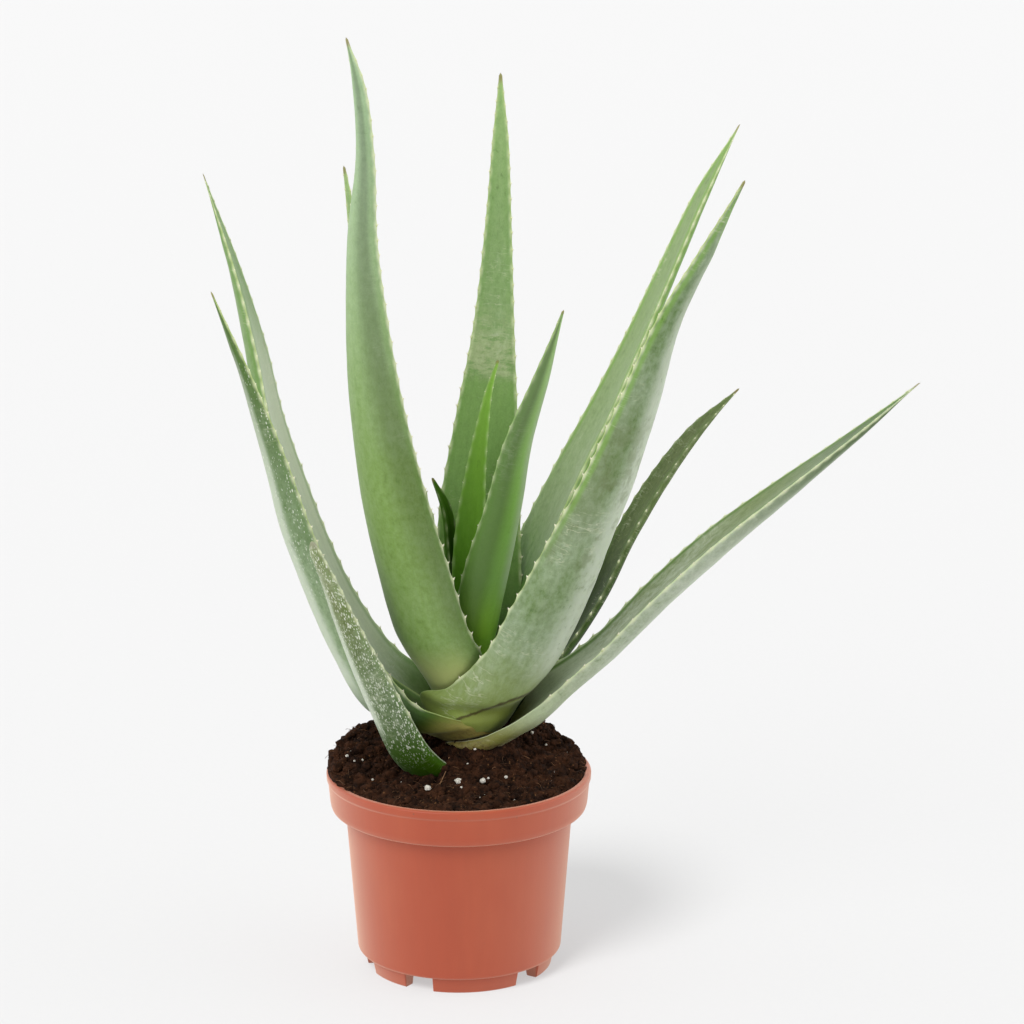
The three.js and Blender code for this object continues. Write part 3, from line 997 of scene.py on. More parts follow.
class GrowTree(NodeWriter):
    """A geometry tree whose inputs have names, run once on a mesh and left as a plain mesh."""

    def __init__(self, name: str, sizes: Dict[str, float]) -> None:
        """Starts the tree.

        Args:
            name: the tree's name.
            sizes: its number inputs and their values.
        """
        super().__init__(bpy.data.node_groups.new(name, "GeometryNodeTree"))
        self.sizes = sizes
        self._socket("Geometry", "Geometry")
        self.keys = {key: self._socket(key, "Float") for key in sizes}
        self.finish_key = self._socket("Finish", "Material")
        self._socket("Geometry", "Geometry", "OUTPUT")
        self.entry = self.place("NodeGroupInput")

    def _socket(self, name: str, kind: str, way: str = "INPUT") -> str:
        """Adds an input or output to the tree.

        Args:
            name: its name.
            kind: Geometry, Float or Material.
            way: INPUT or OUTPUT.

        Returns:
            Its identifier.
        """
        kind = "NodeSocket" + kind
        return self.tree.interface.new_socket(name, in_out=way, socket_type=kind).identifier

    def size(self, key: str) -> Socket:
        """The socket of a named input."""
        return self.entry.outputs[key]

    def named(self, name: str, kind: str = "FLOAT") -> Socket:
        """A number or vector stored on the mesh."""
        node = self.place("GeometryNodeInputNamedAttribute", {"data_type": kind}, {"Name": name})
        return node.outputs["Attribute"]

    def draw(self, low: Union[float, Row], high: Union[float, Row], seed: int) -> Socket:
        """A random number or vector per point, with a fixed seed.

        Args:
            low: the least number, or the least of each axis.
            high: the most.
            seed: the draw's seed.

        Returns:
            The socket with the drawn value.
        """
        vector = not isinstance(low, float)
        kind, first, last, result = ("FLOAT_VECTOR", 0, 1, 0) if vector else ("FLOAT", 2, 3, 1)
        node = self.place(
            "FunctionNodeRandomValue", {"data_type": kind}, {first: low, last: high, "Seed": seed}
        )
        return node.outputs[result]

    def close(self, instances: Socket) -> None:
        """Ends the tree.

        Args:
            instances: what it made, which becomes real, smooth and clad.
        """
        real = self.wire("GeometryNodeRealizeInstances", {}, {0: instances})
        smooth = self.wire("GeometryNodeSetShadeSmooth", {}, {0: real})
        ends = {0: smooth, "Material": self.size("Finish")}
        self.place("NodeGroupOutput", {}, {0: self.wire("GeometryNodeSetMaterial", {}, ends)})

    def swept(self, line: Socket, sides: int, radius: Union[float, Socket]) -> Socket:
        """A round strand along a line.

        Args:
            line: the line's curves.
            sides: how many sides the strand has.
            radius: how thick it is.

        Returns:
            The strand's geometry.
        """
        circle = {"Resolution": sides, "Radius": radius}
        ring = self.wire("GeometryNodeCurvePrimitiveCircle", {}, circle)
        ends = {"Curve": line, "Profile Curve": ring, "Fill Caps": True}
        return self.wire("GeometryNodeCurveToMesh", {}, ends)

    def grow(self, name: str, ground: Object, finish: Material) -> Object:
        """Runs the tree on a mesh.

        Args:
            name: the name of the new piece.
            ground: the object whose mesh carries the points; it is removed.
            finish: the material.

        Returns:
            The grown piece as a plain mesh.
        """
        modifier = ground.modifiers.new(self.tree.name, "NODES")
        modifier.node_group = self.tree
        for key, identifier in self.keys.items():
            modifier[identifier] = float(self.sizes[key])
        modifier[self.finish_key] = finish
        view = bpy.context.evaluated_depsgraph_get()
        mesh = bpy.data.meshes.new_from_object(ground.evaluated_get(view))
        ground.modifiers.remove(modifier)
        mesh.name = name
        piece = place_object(name, mesh)
        bpy.data.objects.remove(ground)
        return piece


class ToothTree(GrowTree):
    """Sets one hooked tooth on every point, its foot in the margin."""

    def __init__(self) -> None:
        """Builds the tree."""
        super().__init__(
            "teeth",
            {"Length": 2.3 * MM, "Width": 3.0 * MM, "Thickness": 1.3 * MM, "Hook": 0.5},
        )
        cone = self.wire("GeometryNodeMeshCone", {"fill_type": "TRIANGLE_FAN"}, {
            "Vertices": 8, "Side Segments": 4,
            "Radius Top": 0.0, "Radius Bottom": 0.5, "Depth": 1.0,
        })
        here = self.wire("GeometryNodeInputPosition")
        x, y, z = self.place("ShaderNodeSeparateXYZ", {}, {0: here}).outputs
        waist = self.sum("POWER", self.sum("MAXIMUM", self.sum("SUBTRACT", 1.0, z), 0.0), 0.55)
        bend = self.sum("MULTIPLY", self.sum("MULTIPLY", z, z), self.size("Hook"))
        wide = self.sum("ADD", self.sum("MULTIPLY", x, waist), self.sum("MULTIPLY", bend, 0.5))
        shaped = self.wire("ShaderNodeCombineXYZ", {}, {
            0: self.sum("MULTIPLY", wide, self.size("Width")),
            1: self.sum("MULTIPLY", self.sum("MULTIPLY", y, waist), self.size("Thickness")),
            2: self.sum("MULTIPLY", z, self.size("Length")),
        })
        risen = self.wire(
            "GeometryNodeStoreNamedAttribute", {"data_type": "FLOAT", "domain": "POINT"},
            {"Geometry": cone, "Name": "rise", "Value": z},
        )
        tooth = self.wire("GeometryNodeSetPosition", {}, {0: risen, "Position": shaped})
        turn = self.wire(
            "FunctionNodeAxesToRotation", {"primary_axis": "Z", "secondary_axis": "X"},
            {0: self.named("out", "FLOAT_VECTOR"), 1: self.named("lean", "FLOAT_VECTOR")},
        )
        self.close(self.wire("GeometryNodeInstanceOnPoints", {}, {
            "Points": self.size("Geometry"), "Instance": tooth, "Rotation": turn,
            "Scale": self.named("size"),
        }))


class SweepTree(GrowTree):
    """Sweeps a thin round strand along every path of edges."""

    def __init__(self) -> None:
        """Builds the tree."""
        super().__init__("strands", {"Radius": 0.2 * MM})
        line = self.wire("GeometryNodeMeshToCurve", {}, {0: self.size("Geometry")})
        self.close(self.swept(line, 6, self.size("Radius")))


class ScatterForm(Enum):
    """What a scatter sets on the ground."""

    CRUMB = "crumb"
    STRAND = "strand"


class ScatterTree(GrowTree):
    """Scatters crumbs or strands over a surface."""

    def __init__(self, name: str, form: ScatterForm, sizes: Dict[str, float], seed: int) -> None:
        """Builds the tree.

        Args:
            name: the tree's name.
            form: what is scattered.
            sizes: Density per square metre, Least and Most size, and Sunk, the lift as a share
                of the size.
            seed: the scatter's fixed seed.
        """
        super().__init__(name, sizes)
        spread = self.wire(
            "GeometryNodeDistributePointsOnFaces", {"distribute_method": "RANDOM"},
            {"Mesh": self.size("Geometry"), "Density": self.size("Density"), "Seed": seed},
        )
        grown = self._crumb(seed) if form is ScatterForm.CRUMB else self._strand()
        flat = form is ScatterForm.STRAND
        high = (0.5, 0.5, math.tau) if flat else (math.tau, math.tau, math.tau)
        low = (-0.5, -0.5, 0.0) if flat else (0.0, 0.0, 0.0)
        turn = self.wire("FunctionNodeEulerToRotation", {}, {0: self.draw(low, high, seed + 1)})
        chance = self.draw(0.0, 1.0, seed + 2)
        small = self.sum("POWER", chance, 3.0)
        reach = self.sum("SUBTRACT", self.size("Most"), self.size("Least"))
        scale = self.sum("ADD", self.sum("MULTIPLY", small, reach), self.size("Least"))
        lift = self.sum("MULTIPLY", scale, self.size("Sunk"))
        drop = self.wire("ShaderNodeCombineXYZ", {}, {2: lift})
        sunk = self.wire("GeometryNodeSetPosition", {}, {0: spread, "Offset": drop})
        self.close(self.wire("GeometryNodeInstanceOnPoints", {}, {
            "Points": sunk, "Instance": grown, "Rotation": turn, "Scale": scale,
        }))

    def _crumb(self, seed: int) -> Socket:
        """A knobbly crumb.

        Args:
            seed: what its knobs are drawn from.

        Returns:
            The crumb's geometry, about one unit across.
        """
        size = {"Segments": 6, "Rings": 4, "Radius": 0.5}
        ball = self.wire("GeometryNodeMeshUVSphere", {}, size)
        coarse = {"W": float(seed), "Scale": 2.4, "Detail": 1.0}
        knobs = self.wire("ShaderNodeTexNoise", {"noise_dimensions": "4D"}, coarse)
        lift = self.wire("ShaderNodeVectorMath", SCALED, {
            0: self.wire("GeometryNodeInputPosition"),
            "Scale": self.sum("MULTIPLY_ADD", knobs, 1.5, -0.75),
        })
        return self.wire("GeometryNodeSetPosition", {}, {0: ball, "Offset": lift})

    def _strand(self) -> Socket:
        """A thin bent strand.

        Returns:
            The strand's geometry, one unit long, level and lying along X.
        """
        line = self.wire("GeometryNodeCurvePrimitiveBezierSegment", {}, {
            "Resolution": 6, "Start": (-0.5, 0.0, 0.0), "Start Handle": (-0.2, 0.28, 0.1),
            "End Handle": (0.2, -0.25, 0.16), "End": (0.5, 0.05, 0.0),
        })
        return self.swept(line, 3, 0.018)


# ------------------------------ leaves

# Where the stem stands, and what all leaves share: millimetres, and shares of a leaf.
STEM_X = 5.0
STEM_Y = 13.0
SHEATH_END = 0.17
SHEATH_THICKNESS = 3.2
BACK_SHARE = 0.62
MARGIN_SHARPNESS = 1.3
UP_TILT = 0.4
SHEATH_LEVEL = 0.9
TIP_HALF_WIDTH = 0.5
HEM_INNER = -0.5
TOOTH_SHRINK = 0.55
KNOT_REACH = 2.4
LINE_STEPS = 401


def centripetal(points: np.ndarray, where: np.ndarray) -> np.ndarray:
    """A centripetal Catmull-Rom curve through points.

    Args:
        points: the points it runs through.
        where: places along it, 0 to 1.

    Returns:
        The curve's points.
    """
    spans = len(points) - 1
    place = spans * where
    first = np.minimum(np.floor(place).astype(int), spans - 1)
    w = (place - first)[:, None]
    longer = np.vstack([2 * points[0] - points[1], points, 2 * points[-1] - points[-2]])
    p0, p1, p2, p3 = (longer[first + k] for k in range(4))
    d0, d1, d2 = (
        (((b - a) ** 2).sum(1) ** 0.25)[:, None] for a, b in ((p0, p1), (p1, p2), (p2, p3))
    )
    t1 = ((p1 - p0) / d0 - (p2 - p0) / (d0 + d1) + (p2 - p1) / d1) * d1
    t2 = ((p2 - p1) / d1 - (p3 - p1) / (d1 + d2) + (p3 - p2) / d2) * d1
    return p1 + t1 * w + (3 * (p2 - p1) - 2 * t1 - t2) * w**2 + (2 * (p1 - p2) + t1 + t2) * w**3


def uniform_spline(values: np.ndarray, where: np.ndarray) -> np.ndarray:
    """A uniform Catmull-Rom curve through numbers.

    Args:
        values: the numbers.
        where: places along it, 0 to 1.

    Returns:
        The curve's values.
    """
    spans = len(values) - 1
    place = spans * where
    first = np.minimum(np.floor(place).astype(int), spans - 1)
    w = place - first
    longer = np.concatenate([[values[0]], values, [values[-1]]])
    p0, p1, p2, p3 = (longer[first + k] for k in range(4))
    v0, v1 = (p2 - p0) * 0.5, (p3 - p1) * 0.5
    return (2 * (p1 - p2) + v0 + v1) * w**3 + (3 * (p2 - p1) - 2 * v0 - v1) * w**2 + v0 * w + p1


def unit(vectors: np.ndarray) -> np.ndarray:
    """Vectors brought to a length of one."""
    return vectors / np.linalg.norm(vectors, axis=-1, keepdims=True)


def smooth_step(values: np.ndarray, low: float, high: float) -> np.ndarray:
    """Eases from 0 to 1 between low and high."""
    x = np.clip((values - low) / (high - low), 0, 1)
    return x * x * (3 - 2 * x)


@dataclass
class Sections:
    """Cross-sections of a leaf, one per row."""

    share: np.ndarray
    centre: np.ndarray
    tangent: np.ndarray
    normal: np.ndarray
    across: np.ndarray
    half_width: np.ndarray
    curl: np.ndarray
    thickness: np.ndarray
    hem: np.ndarray
    near: int

    def point(self, side: np.ndarray, lift: np.ndarray) -> np.ndarray:
        """Points of the sections.

        Args:
            side: -1 to 1 across each section.
            lift: height over the middle sheet, millimetres.

        Returns:
            The points in millimetres.
        """
        radius = self.half_width / self.curl
        angle = side * self.curl
        sideways = ((radius - lift) * np.sin(angle))[:, None] * self.across
        inward = (radius - (radius - lift) * np.cos(angle))[:, None] * self.normal
        pull = smooth_step(side * self.near, HEM_INNER, 1.0)[:, None] * self.hem
        return self.centre + sideways + inward + pull

    def outward(self, side: np.ndarray) -> np.ndarray:
        """The way a face of the middle sheet looks, towards the inner side."""
        angle = side * self.curl
        return -np.sin(angle)[:, None] * self.across + np.cos(angle)[:, None] * self.normal


@dataclass
class Leaf:
    """One leaf with its teeth.

    azimuth is where its back faces; root is the height and radius at which its middle line
    clasps the stem; path holds [x, y, z, half-width] of that line; curl is the half-angle of
    the section's arc at the root, above the sheath and at the tip. hem moves the margin on the
    near side where the sheath wraps its neighbours: rows of [share, x, y, z].
    """

    letter: str
    azimuth: float
    root: Tuple[float, float]
    curl: Tuple[float, float, float]
    turn: float
    fleshy: float
    thickness: float
    teeth_from: float
    path: Sequence[Row]
    finish: LeafFinish
    near: int = -1
    hem: Sequence[Row] = ()
    tooth_scale: float = 1.0
    tooth_gap: float = 11.2
    waviness: float = 0.35
    seed: int = 1
    rows: int = 150
    around: int = 44

    def _line(self) -> Tuple[np.ndarray, np.ndarray]:
        """The rows of the middle line.

        Returns:
            Its points, the root first, and the half-width at each.
        """
        out = math.radians(self.azimuth)
        height, radius = self.root
        foot = [
            STEM_X + radius * math.cos(out),
            STEM_Y + radius * math.sin(out),
            height,
            radius * math.radians(self.curl[0]),
        ]
        rows = np.array([foot, *self.path], float)
        return rows[:, :3], rows[:, 3]

    def sections(self, share: np.ndarray) -> Sections:
        """Cross-sections at shares of the leaf's length.

        Args:
            share: 0 at the root to 1 at the tip.

        Returns:
            The sections.
        """
        points, widths = self._line()
        fine = np.linspace(0, 1, LINE_STEPS)
        trace = centripetal(points, fine)
        steps = np.linalg.norm(np.diff(trace, axis=0), axis=1)
        run = np.concatenate([[0], np.cumsum(steps)])
        where = np.interp(share * run[-1], run, fine)
        ahead, behind = np.minimum(where + 1e-4, 1), np.maximum(where - 1e-4, 0)
        tangent = unit(centripetal(points, ahead) - centripetal(points, behind))
        out = math.radians(self.azimuth)
        inward = np.array([-math.cos(out), -math.sin(out), UP_TILT])
        normal = unit(inward - (tangent @ inward)[:, None] * tangent)
        turn = (math.radians(self.turn) * share)[:, None]
        normal = normal * np.cos(turn) + np.cross(tangent, normal) * np.sin(turn)
        across = unit(np.cross(tangent, normal))
        sheath = 1 - smooth_step(share, 0, SHEATH_END)
        level = unit(np.stack([across[:, 1], -across[:, 0], np.zeros(len(share))], 1))
        blend = (SHEATH_LEVEL * sheath)[:, None]
        normal = unit(normal * (1 - blend) + level * blend)
        half_width = np.maximum(TIP_HALF_WIDTH, uniform_spline(widths, where))
        root, middle, end = self.curl
        curl = np.radians(middle + (end - middle) * share + (root - middle) * sheath)
        flesh = np.minimum(self.thickness, self.fleshy * half_width)
        thin = np.minimum(flesh, SHEATH_THICKNESS)
        thickness = flesh + (thin - flesh) * sheath
        blunt = np.clip((share * run[-1] - run[-1] + 2 * half_width) / (2 * half_width), 0, 1)
        shrink = np.sqrt(np.maximum(0.0, 1 - blunt**2))
        shrink = np.where(share > 0.9, np.maximum(shrink, 0.02), 1.0)
        return Sections(
            share, centripetal(points, where), tangent, normal, across,
            half_width * shrink, curl, thickness * shrink, self._hem(share), self.near,
        )

    def _hem(self, share: np.ndarray) -> np.ndarray:
        """How far the near margin is moved.

        Args:
            share: shares of the length.

        Returns:
            The move at each, millimetres.
        """
        if not self.hem:
            return np.zeros((len(share), 3))
        knots = np.array(self.hem, float)
        place = np.interp(share, knots[:, 0], np.linspace(0, 1, len(knots)))
        return np.stack([uniform_spline(knots[:, k], place) for k in (1, 2, 3)], 1)

    def length(self) -> float:
        """Length of the middle line.

        Returns:
            The length in millimetres.
        """
        points, _ = self._line()
        trace = centripetal(points, np.linspace(0, 1, LINE_STEPS))
        return float(np.linalg.norm(np.diff(trace, axis=0), axis=1).sum())

    def tooth_places(self) -> List[Tuple[int, float]]:
        """Where the teeth stand.

        Returns:
            (side, share of the length) of each tooth.
        """
        draw = random.Random(self.seed * 31 + int(self.azimuth))
        length = self.length()
        places = []
        for side in (-1, 1):
            place = self.teeth_from * length + draw.random() * 10
            while place < length * 0.985:
                share = place / length
                places.append((side, share))
                place += self.tooth_gap * draw.uniform(0.82, 1.2) * (1 - 0.45 * share)
        return places

    def tooth_size(self, share: Union[float, np.ndarray]) -> Union[float, np.ndarray]:
        """Size of the teeth at a share of the length."""
        return (1 - TOOTH_SHRINK * share) * self.tooth_scale

    @staticmethod
    def _near_teeth(
        side: float, run: np.ndarray, length: float, teeth: Sequence[Tuple[int, float]]
    ) -> Tuple[np.ndarray, np.ndarray]:
        """How much of a tooth's foot each row holds.

        Args:
            side: the place across the leaf, whose sign picks the margin.
            run: the rows' distances from the root.
            length: the leaf's length.
            teeth: (side, share of the length) of each tooth.

        Returns:
            How far the margin is drawn out, and how plain the pale knot is, 0 to 1.
        """
        drawn, pale = np.zeros(len(run)), np.zeros(len(run))
        for tooth_side, share in teeth:
            if tooth_side * side > 0:
                away = (run - share * length) / (KNOT_REACH * (1.1 - 0.5 * share))
                drawn += np.exp(-away * away)
                pale = np.maximum(pale, np.exp(-(away * 0.8) ** 2))
        return drawn, pale

    def body(self, name: str) -> Object:
        """The leaf's flesh, with its margins drawn out at each tooth.

        Args:
            name: the object's name.

        Returns:
            The object, with its surface coordinates and masks stored.
        """
        spread = np.linspace(0, 1, self.rows)
        share = spread ** 1.25 * 0.45 + (1 - (1 - spread) ** 1.3) * 0.55
        cut = self.sections(share)
        length = self.length()
        run = share * length
        teeth = self.tooth_places()
        fade = smooth_step(share, 0.02, 0.1)
        grid, across_mm = [], []
        masks: Dict[str, List[np.ndarray]] = {"edge": [], "inside": [], "knot": [], "side": []}
        for step, angle in enumerate(self._angles()):
            back = step < self.around / 2
            side = math.cos(angle)
            rise = abs(math.sin(angle)) if step % (self.around // 2) else 0.0
            flesh = cut.thickness * (BACK_SHARE if back else 1 - BACK_SHARE)
            depth = flesh * rise**MARGIN_SHARPNESS
            drawn, pale = self._near_teeth(side, run, length, teeth)
            reach = abs(side) ** 24 * (0.75 * drawn * self.tooth_size(share) + 0.25)
            sides = side * (1 + reach * fade / cut.half_width)
            here = cut.point(sides, -depth if back else depth)
            facing = cut.outward(sides) * (-1 if back else 1)
            ripple = self._ripple(run, side * cut.half_width + (40 if back else 0))
            grid.append(here + facing * (ripple * rise * fade)[:, None])
            across_mm.append(side * cut.half_width)
            masks["edge"].append((1 - abs(side)) * cut.half_width + rise * flesh * 0.5)
            masks["inside"].append(np.full(len(share), 0.5 if rise == 0 else float(not back)))
            masks["knot"].append(pale * abs(side) ** 6)
            masks["side"].append(np.full(len(share), side))
        points = np.array(grid).transpose(1, 0, 2)
        points[0] = self._zipped(cut)
        points[-1] = cut.centre[-1]
        piece = self._skin(name, points)
        store(piece, "share", np.repeat(share, self.around))
        store(piece, "tip", np.repeat(length - run, self.around))
        for mask, columns in masks.items():
            store(piece, mask, np.array(columns).T.ravel())
        self._lay_skin(piece, np.array(across_mm).T, run)
        merge_doubles(piece)
        return piece

    def _ripple(self, run: np.ndarray, across: np.ndarray) -> np.ndarray:
        """Gentle unevenness of the flesh.

        Args:
            run: the rows' distances from the root, millimetres.
            across: their distances from the middle line.

        Returns:
            The rise at each row, millimetres.
        """
        shift = self.seed * 17.3
        values = [
            noise.noise(Vector((r / 26 + shift, a / 11, shift)))
            + 0.4 * noise.noise(Vector((r / 9 + shift, a / 5, 3.1)))
            for r, a in zip(run, across)
        ]
        return self.waviness * np.array(values)

    def _zipped(self, cut: Sections) -> np.ndarray:
        """The first row's points, where both faces meet on the middle sheet."""
        first, sides = self.sections(cut.share[:1]), np.cos(self._angles())
        return np.array([first.point(np.array([side]), np.zeros(1))[0] for side in sides])

    def _angles(self) -> np.ndarray:
        """Places round a section, closer together at the margins."""
        even = 2 * math.pi * np.arange(self.around) / self.around
        return even - 0.3 * np.sin(2 * even)

    def _skin(self, name: str, points: np.ndarray) -> Object:
        """Joins the rows into a closed skin.

        Args:
            name: the object's name.
            points: points by row and place round the section, millimetres.

        Returns:
            The object.
        """
        rows, around = points.shape[:2]
        faces = []
        for row in range(rows - 1):
            for step in range(around):
                beside = (step + 1) % around
                a, b = row * around + step, row * around + beside
                faces.append((a, b, b + around, a + around))
        return mesh_object(name, points.reshape(-1, 3) * MM, faces)

    def _lay_skin(self, piece: Object, across: np.ndarray, run: np.ndarray) -> None:
        """Writes the UV map: metres across the leaf, and along it.

        Args:
            piece: the leaf.
            across: each point's distance from the middle line, by row and place round.
            run: the rows' distances from the root.
        """
        around = across.shape[1]
        layer = piece.data.uv_layers.new(name=SKIN_MAP)
        flat = across.ravel()
        coordinates = np.empty((len(piece.data.loops), 2), np.float32)
        for polygon in piece.data.polygons:
            corners = [piece.data.loops[i].vertex_index for i in polygon.loop_indices]
            back = min(corner % around for corner in corners) < around / 2
            if {corner % around for corner in corners} == {0, around - 1}:
                back = False
            for loop, corner in zip(polygon.loop_indices, corners):
                offset = 0.3 if back else 0.0
                coordinates[loop] = (
                    flat[corner] * MM + offset + self.seed * 0.61,
                    run[corner // around] * MM + self.seed * 0.37,
                )
        layer.data.foreach_set("uv", coordinates.ravel())

    def teeth(self, name: str, tree: ToothTree, horn: Material) -> Object:
        """The leaf's teeth.

        Args:
            name: the object's name.
            tree: the tree that sets them.
            horn: their material.

        Returns:
            The object.
        """
        draw = random.Random(self.seed * 7 + 3)
        points, outs, leans, sizes = [], [], [], []
        for side, share in self.tooth_places():
            cut = self.sections(np.array([share]))
            tangent, across, normal = cut.tangent[0], cut.across[0], cut.normal[0]
            curl = float(cut.curl[0])
            out = side * math.cos(curl) * across + math.sin(curl) * normal
            out = unit(out + 0.32 * tangent)
            size = self.tooth_size(share) * draw.uniform(0.85, 1.12)
            reach = side * (1 + 0.35 * size / float(cut.half_width[0]))
            place = cut.point(np.array([reach]), np.zeros(1))[0]
            points.append((place - out * 0.25 * size) * MM)
            outs.append(out)
            leans.append(tangent)
            sizes.append(size)
        ground = mesh_object(name + "_points", np.array(points), [])
        store(ground, "out", np.array(outs))
        store(ground, "lean", np.array(leans))
        store(ground, "size", np.array(sizes))
        return tree.grow(name, ground, horn)

    def build(self, tree: ToothTree, horn: Material) -> None:
        """Builds and dresses the leaf.

        Args:
            tree: the tree that sets teeth.
            horn: the teeth's material.
        """
        node = "leaf_" + self.letter
        skin = self.finish.material(node + "_skin")
        clad(self.body(node + "_flesh"), skin, node, node)
        clad(self.teeth(node + "_teeth", tree, horn), horn, node)


# Where a finish below sets lit, it paints light on one side of the leaf's back.
PALE_BLOOM = srgb(176, 196, 160)
GREY_BLOOM = srgb(196, 208, 188)

# Painted shade: leaf D's skin is darkened in a band down the leaf and beside its foot.
CENTRE_FINISH = LeafFinish(
    srgb(140, 161, 66), srgb(124, 155, 78), srgb(162, 186, 150), PALE_BLOOM, 0.26,
    top_from=0.36, wear=Wear.YOUNG, blush=0.95, crease_shade=0.38, margin=srgb(190, 204, 160),
)
YOUNG_FINISH = LeafFinish(
    srgb(68, 114, 20), srgb(104, 152, 40), srgb(136, 182, 70), srgb(150, 182, 104), 0.1,
    mottle=0.2, wear=Wear.YOUNG, dry_tip_mm=3, foot_span=(0.1, 0.5), sheen=0.1,
    margin=srgb(140, 178, 94), margin_share=0.5, knots=0.35,
)
SHADY_FINISH = LeafFinish(
    srgb(38, 74, 2), srgb(42, 80, 4), srgb(58, 94, 14), srgb(84, 112, 50), 0.08,
    mottle=0.2, wear=Wear.YOUNG, dry_tip_mm=3, sheen=0.0, gloss=0.05, margin=srgb(84, 116, 50),
    margin_share=0.4, knots=0.25,
)
# Painted light and shade: leaf I's skin is darker on one side and paler on the other.
INNER_FINISH = LeafFinish(
    srgb(158, 212, 68), srgb(140, 190, 88), srgb(168, 200, 136), srgb(158, 186, 136), 0.12,
    top_from=0.5, mottle=0.2, wear=Wear.YOUNG, dry_tip_mm=3, foot_span=(0.2, 0.36), gloss=0.3,
    shaded=0.62, lit=0.4, lit_side=(0.0, -0.5),
    margin=srgb(150, 184, 108), margin_share=0.5, knots=0.35,
)
BACK_FINISH = LeafFinish(
    srgb(128, 163, 92), srgb(128, 160, 98), srgb(150, 180, 118), srgb(172, 190, 144), 0.18,
    top_from=0.72, mottle=0.4, banding=0.85, foot_span=(0.515, 0.54), margin=srgb(150, 178, 108),
    margin_share=0.6,
)
PALE_FINISH = LeafFinish(
    srgb(140, 158, 78), srgb(114, 138, 88), srgb(94, 122, 70), GREY_BLOOM, 0.4,
    mottle=0.25, smudge=0.65, wear=Wear.OLD, foot_span=(0.04, 0.24), lit=0.72,
    rib=srgb(122, 166, 66), rib_share=0.6, rib_span=(0.3, 0.5),
    clasp=(-5.3, 110.2, 0.362),
)
DARK_FINISH = LeafFinish(
    srgb(40, 58, 14), srgb(76, 96, 42), srgb(92, 106, 60), srgb(112, 122, 86), 0.3,
    mottle=0.8, foot_span=(0.42, 0.66), sheen=0.04, gloss=0.08,
    margin=srgb(116, 136, 86), margin_share=0.4, knots=0.2,
)
SIDE_FINISH = LeafFinish(
    srgb(106, 124, 56), srgb(120, 148, 92), srgb(106, 140, 74), srgb(190, 200, 172), 0.35,
    bloom_at_tip=0.5, inner=srgb(182, 193, 164), mottle=0.2, scar=0.6,
    rib_share=0.4,
)
LONG_FINISH = LeafFinish(
    srgb(170, 184, 148), srgb(158, 172, 144), srgb(64, 90, 34), srgb(206, 212, 198), 0.6,
    bloom_at_tip=0.1, inner=srgb(104, 124, 58), mottle=0.35, scar=0.5,
    foot_span=(0.1, 0.34), lit=0.4, lit_side=(0.8, 0.35), margin=srgb(200, 214, 172),
    rib=srgb(84, 122, 36), rib_share=0.85, rib_inside=True, base=srgb(120, 122, 60),
)
SPOTTED_FINISH = LeafFinish(
    srgb(38, 64, 2), srgb(116, 140, 98), srgb(72, 98, 44), srgb(184, 198, 174), 0.42,
    bloom_at_tip=0.2, mottle=0.35, flecks=0.06, fleck_span=(0.35, 0.95), scar=0.3,
    foot_span=(0.1, 0.26), sheen=0.08, gloss=0.1, base=srgb(138, 132, 70),
    lit=0.7, lit_side=(-0.4, -0.05),
)
FLECKED_FINISH = LeafFinish(
    srgb(48, 79, 2), srgb(76, 100, 50), srgb(120, 130, 82), srgb(172, 184, 160), 0.32,
    mottle=0.5, flecks=0.85, foot_span=(0.24, 0.56),
    lit=0.8, lit_side=(-0.08, 0.22), sheen=0.05, gloss=0.06, dry=srgb(150, 148, 128),
    dry_tip_mm=5.0, margin=srgb(196, 206, 178), margin_share=0.5,
)
TALL_RIGHT_FINISH = LeafFinish(
    srgb(92, 142, 44), srgb(120, 158, 84), srgb(104, 144, 62), srgb(184, 198, 166), 0.35,
    bloom_at_tip=0.15, inner=srgb(128, 152, 98), inner_ends=(1.3, 0.8),
    foot_span=(0.14, 0.3), rib=srgb(118, 160, 60), rib_share=0.7, rib_span=(0.3, 0.5),
)

# How the wrapped margins of three leaves move: rows of (share of the length, x, y, z).
G_HEM = [
    (0, 0, -3, 0), (0.02, 5, -7, -2), (0.04, 7, -6, -4), (0.06, 2, -1, -5), (0.08, -1.5, 0, -7),
    (0.1, 0, 0, -9.5), (0.12, 0, 0, -7), (0.14, 0, 0, -2.5), (0.18, 0, 0, 0), (1, 0, 0, 0),
]
B_HEM = [
    (0, 0, -4, 0), (0.03, 0, -9, 0), (0.06, 0, -9, -3), (0.085, 0, -7, -4.5), (0.11, 0, -4, -4),
    (0.15, 0, -1, -2), (0.2, 0, 0, 0), (1, 0, 0, 0),
]
M_HEM = [
    (0, 0, -7, 7), (0.03, 0, -9, 2), (0.05, 0, -8, -1.5), (0.085, 0, -5, -4.5), (0.12, 0, -2, -4),
    (0.16, 0, 0, -2), (0.22, 0, 0, 0), (1, 0, 0, 0),
]

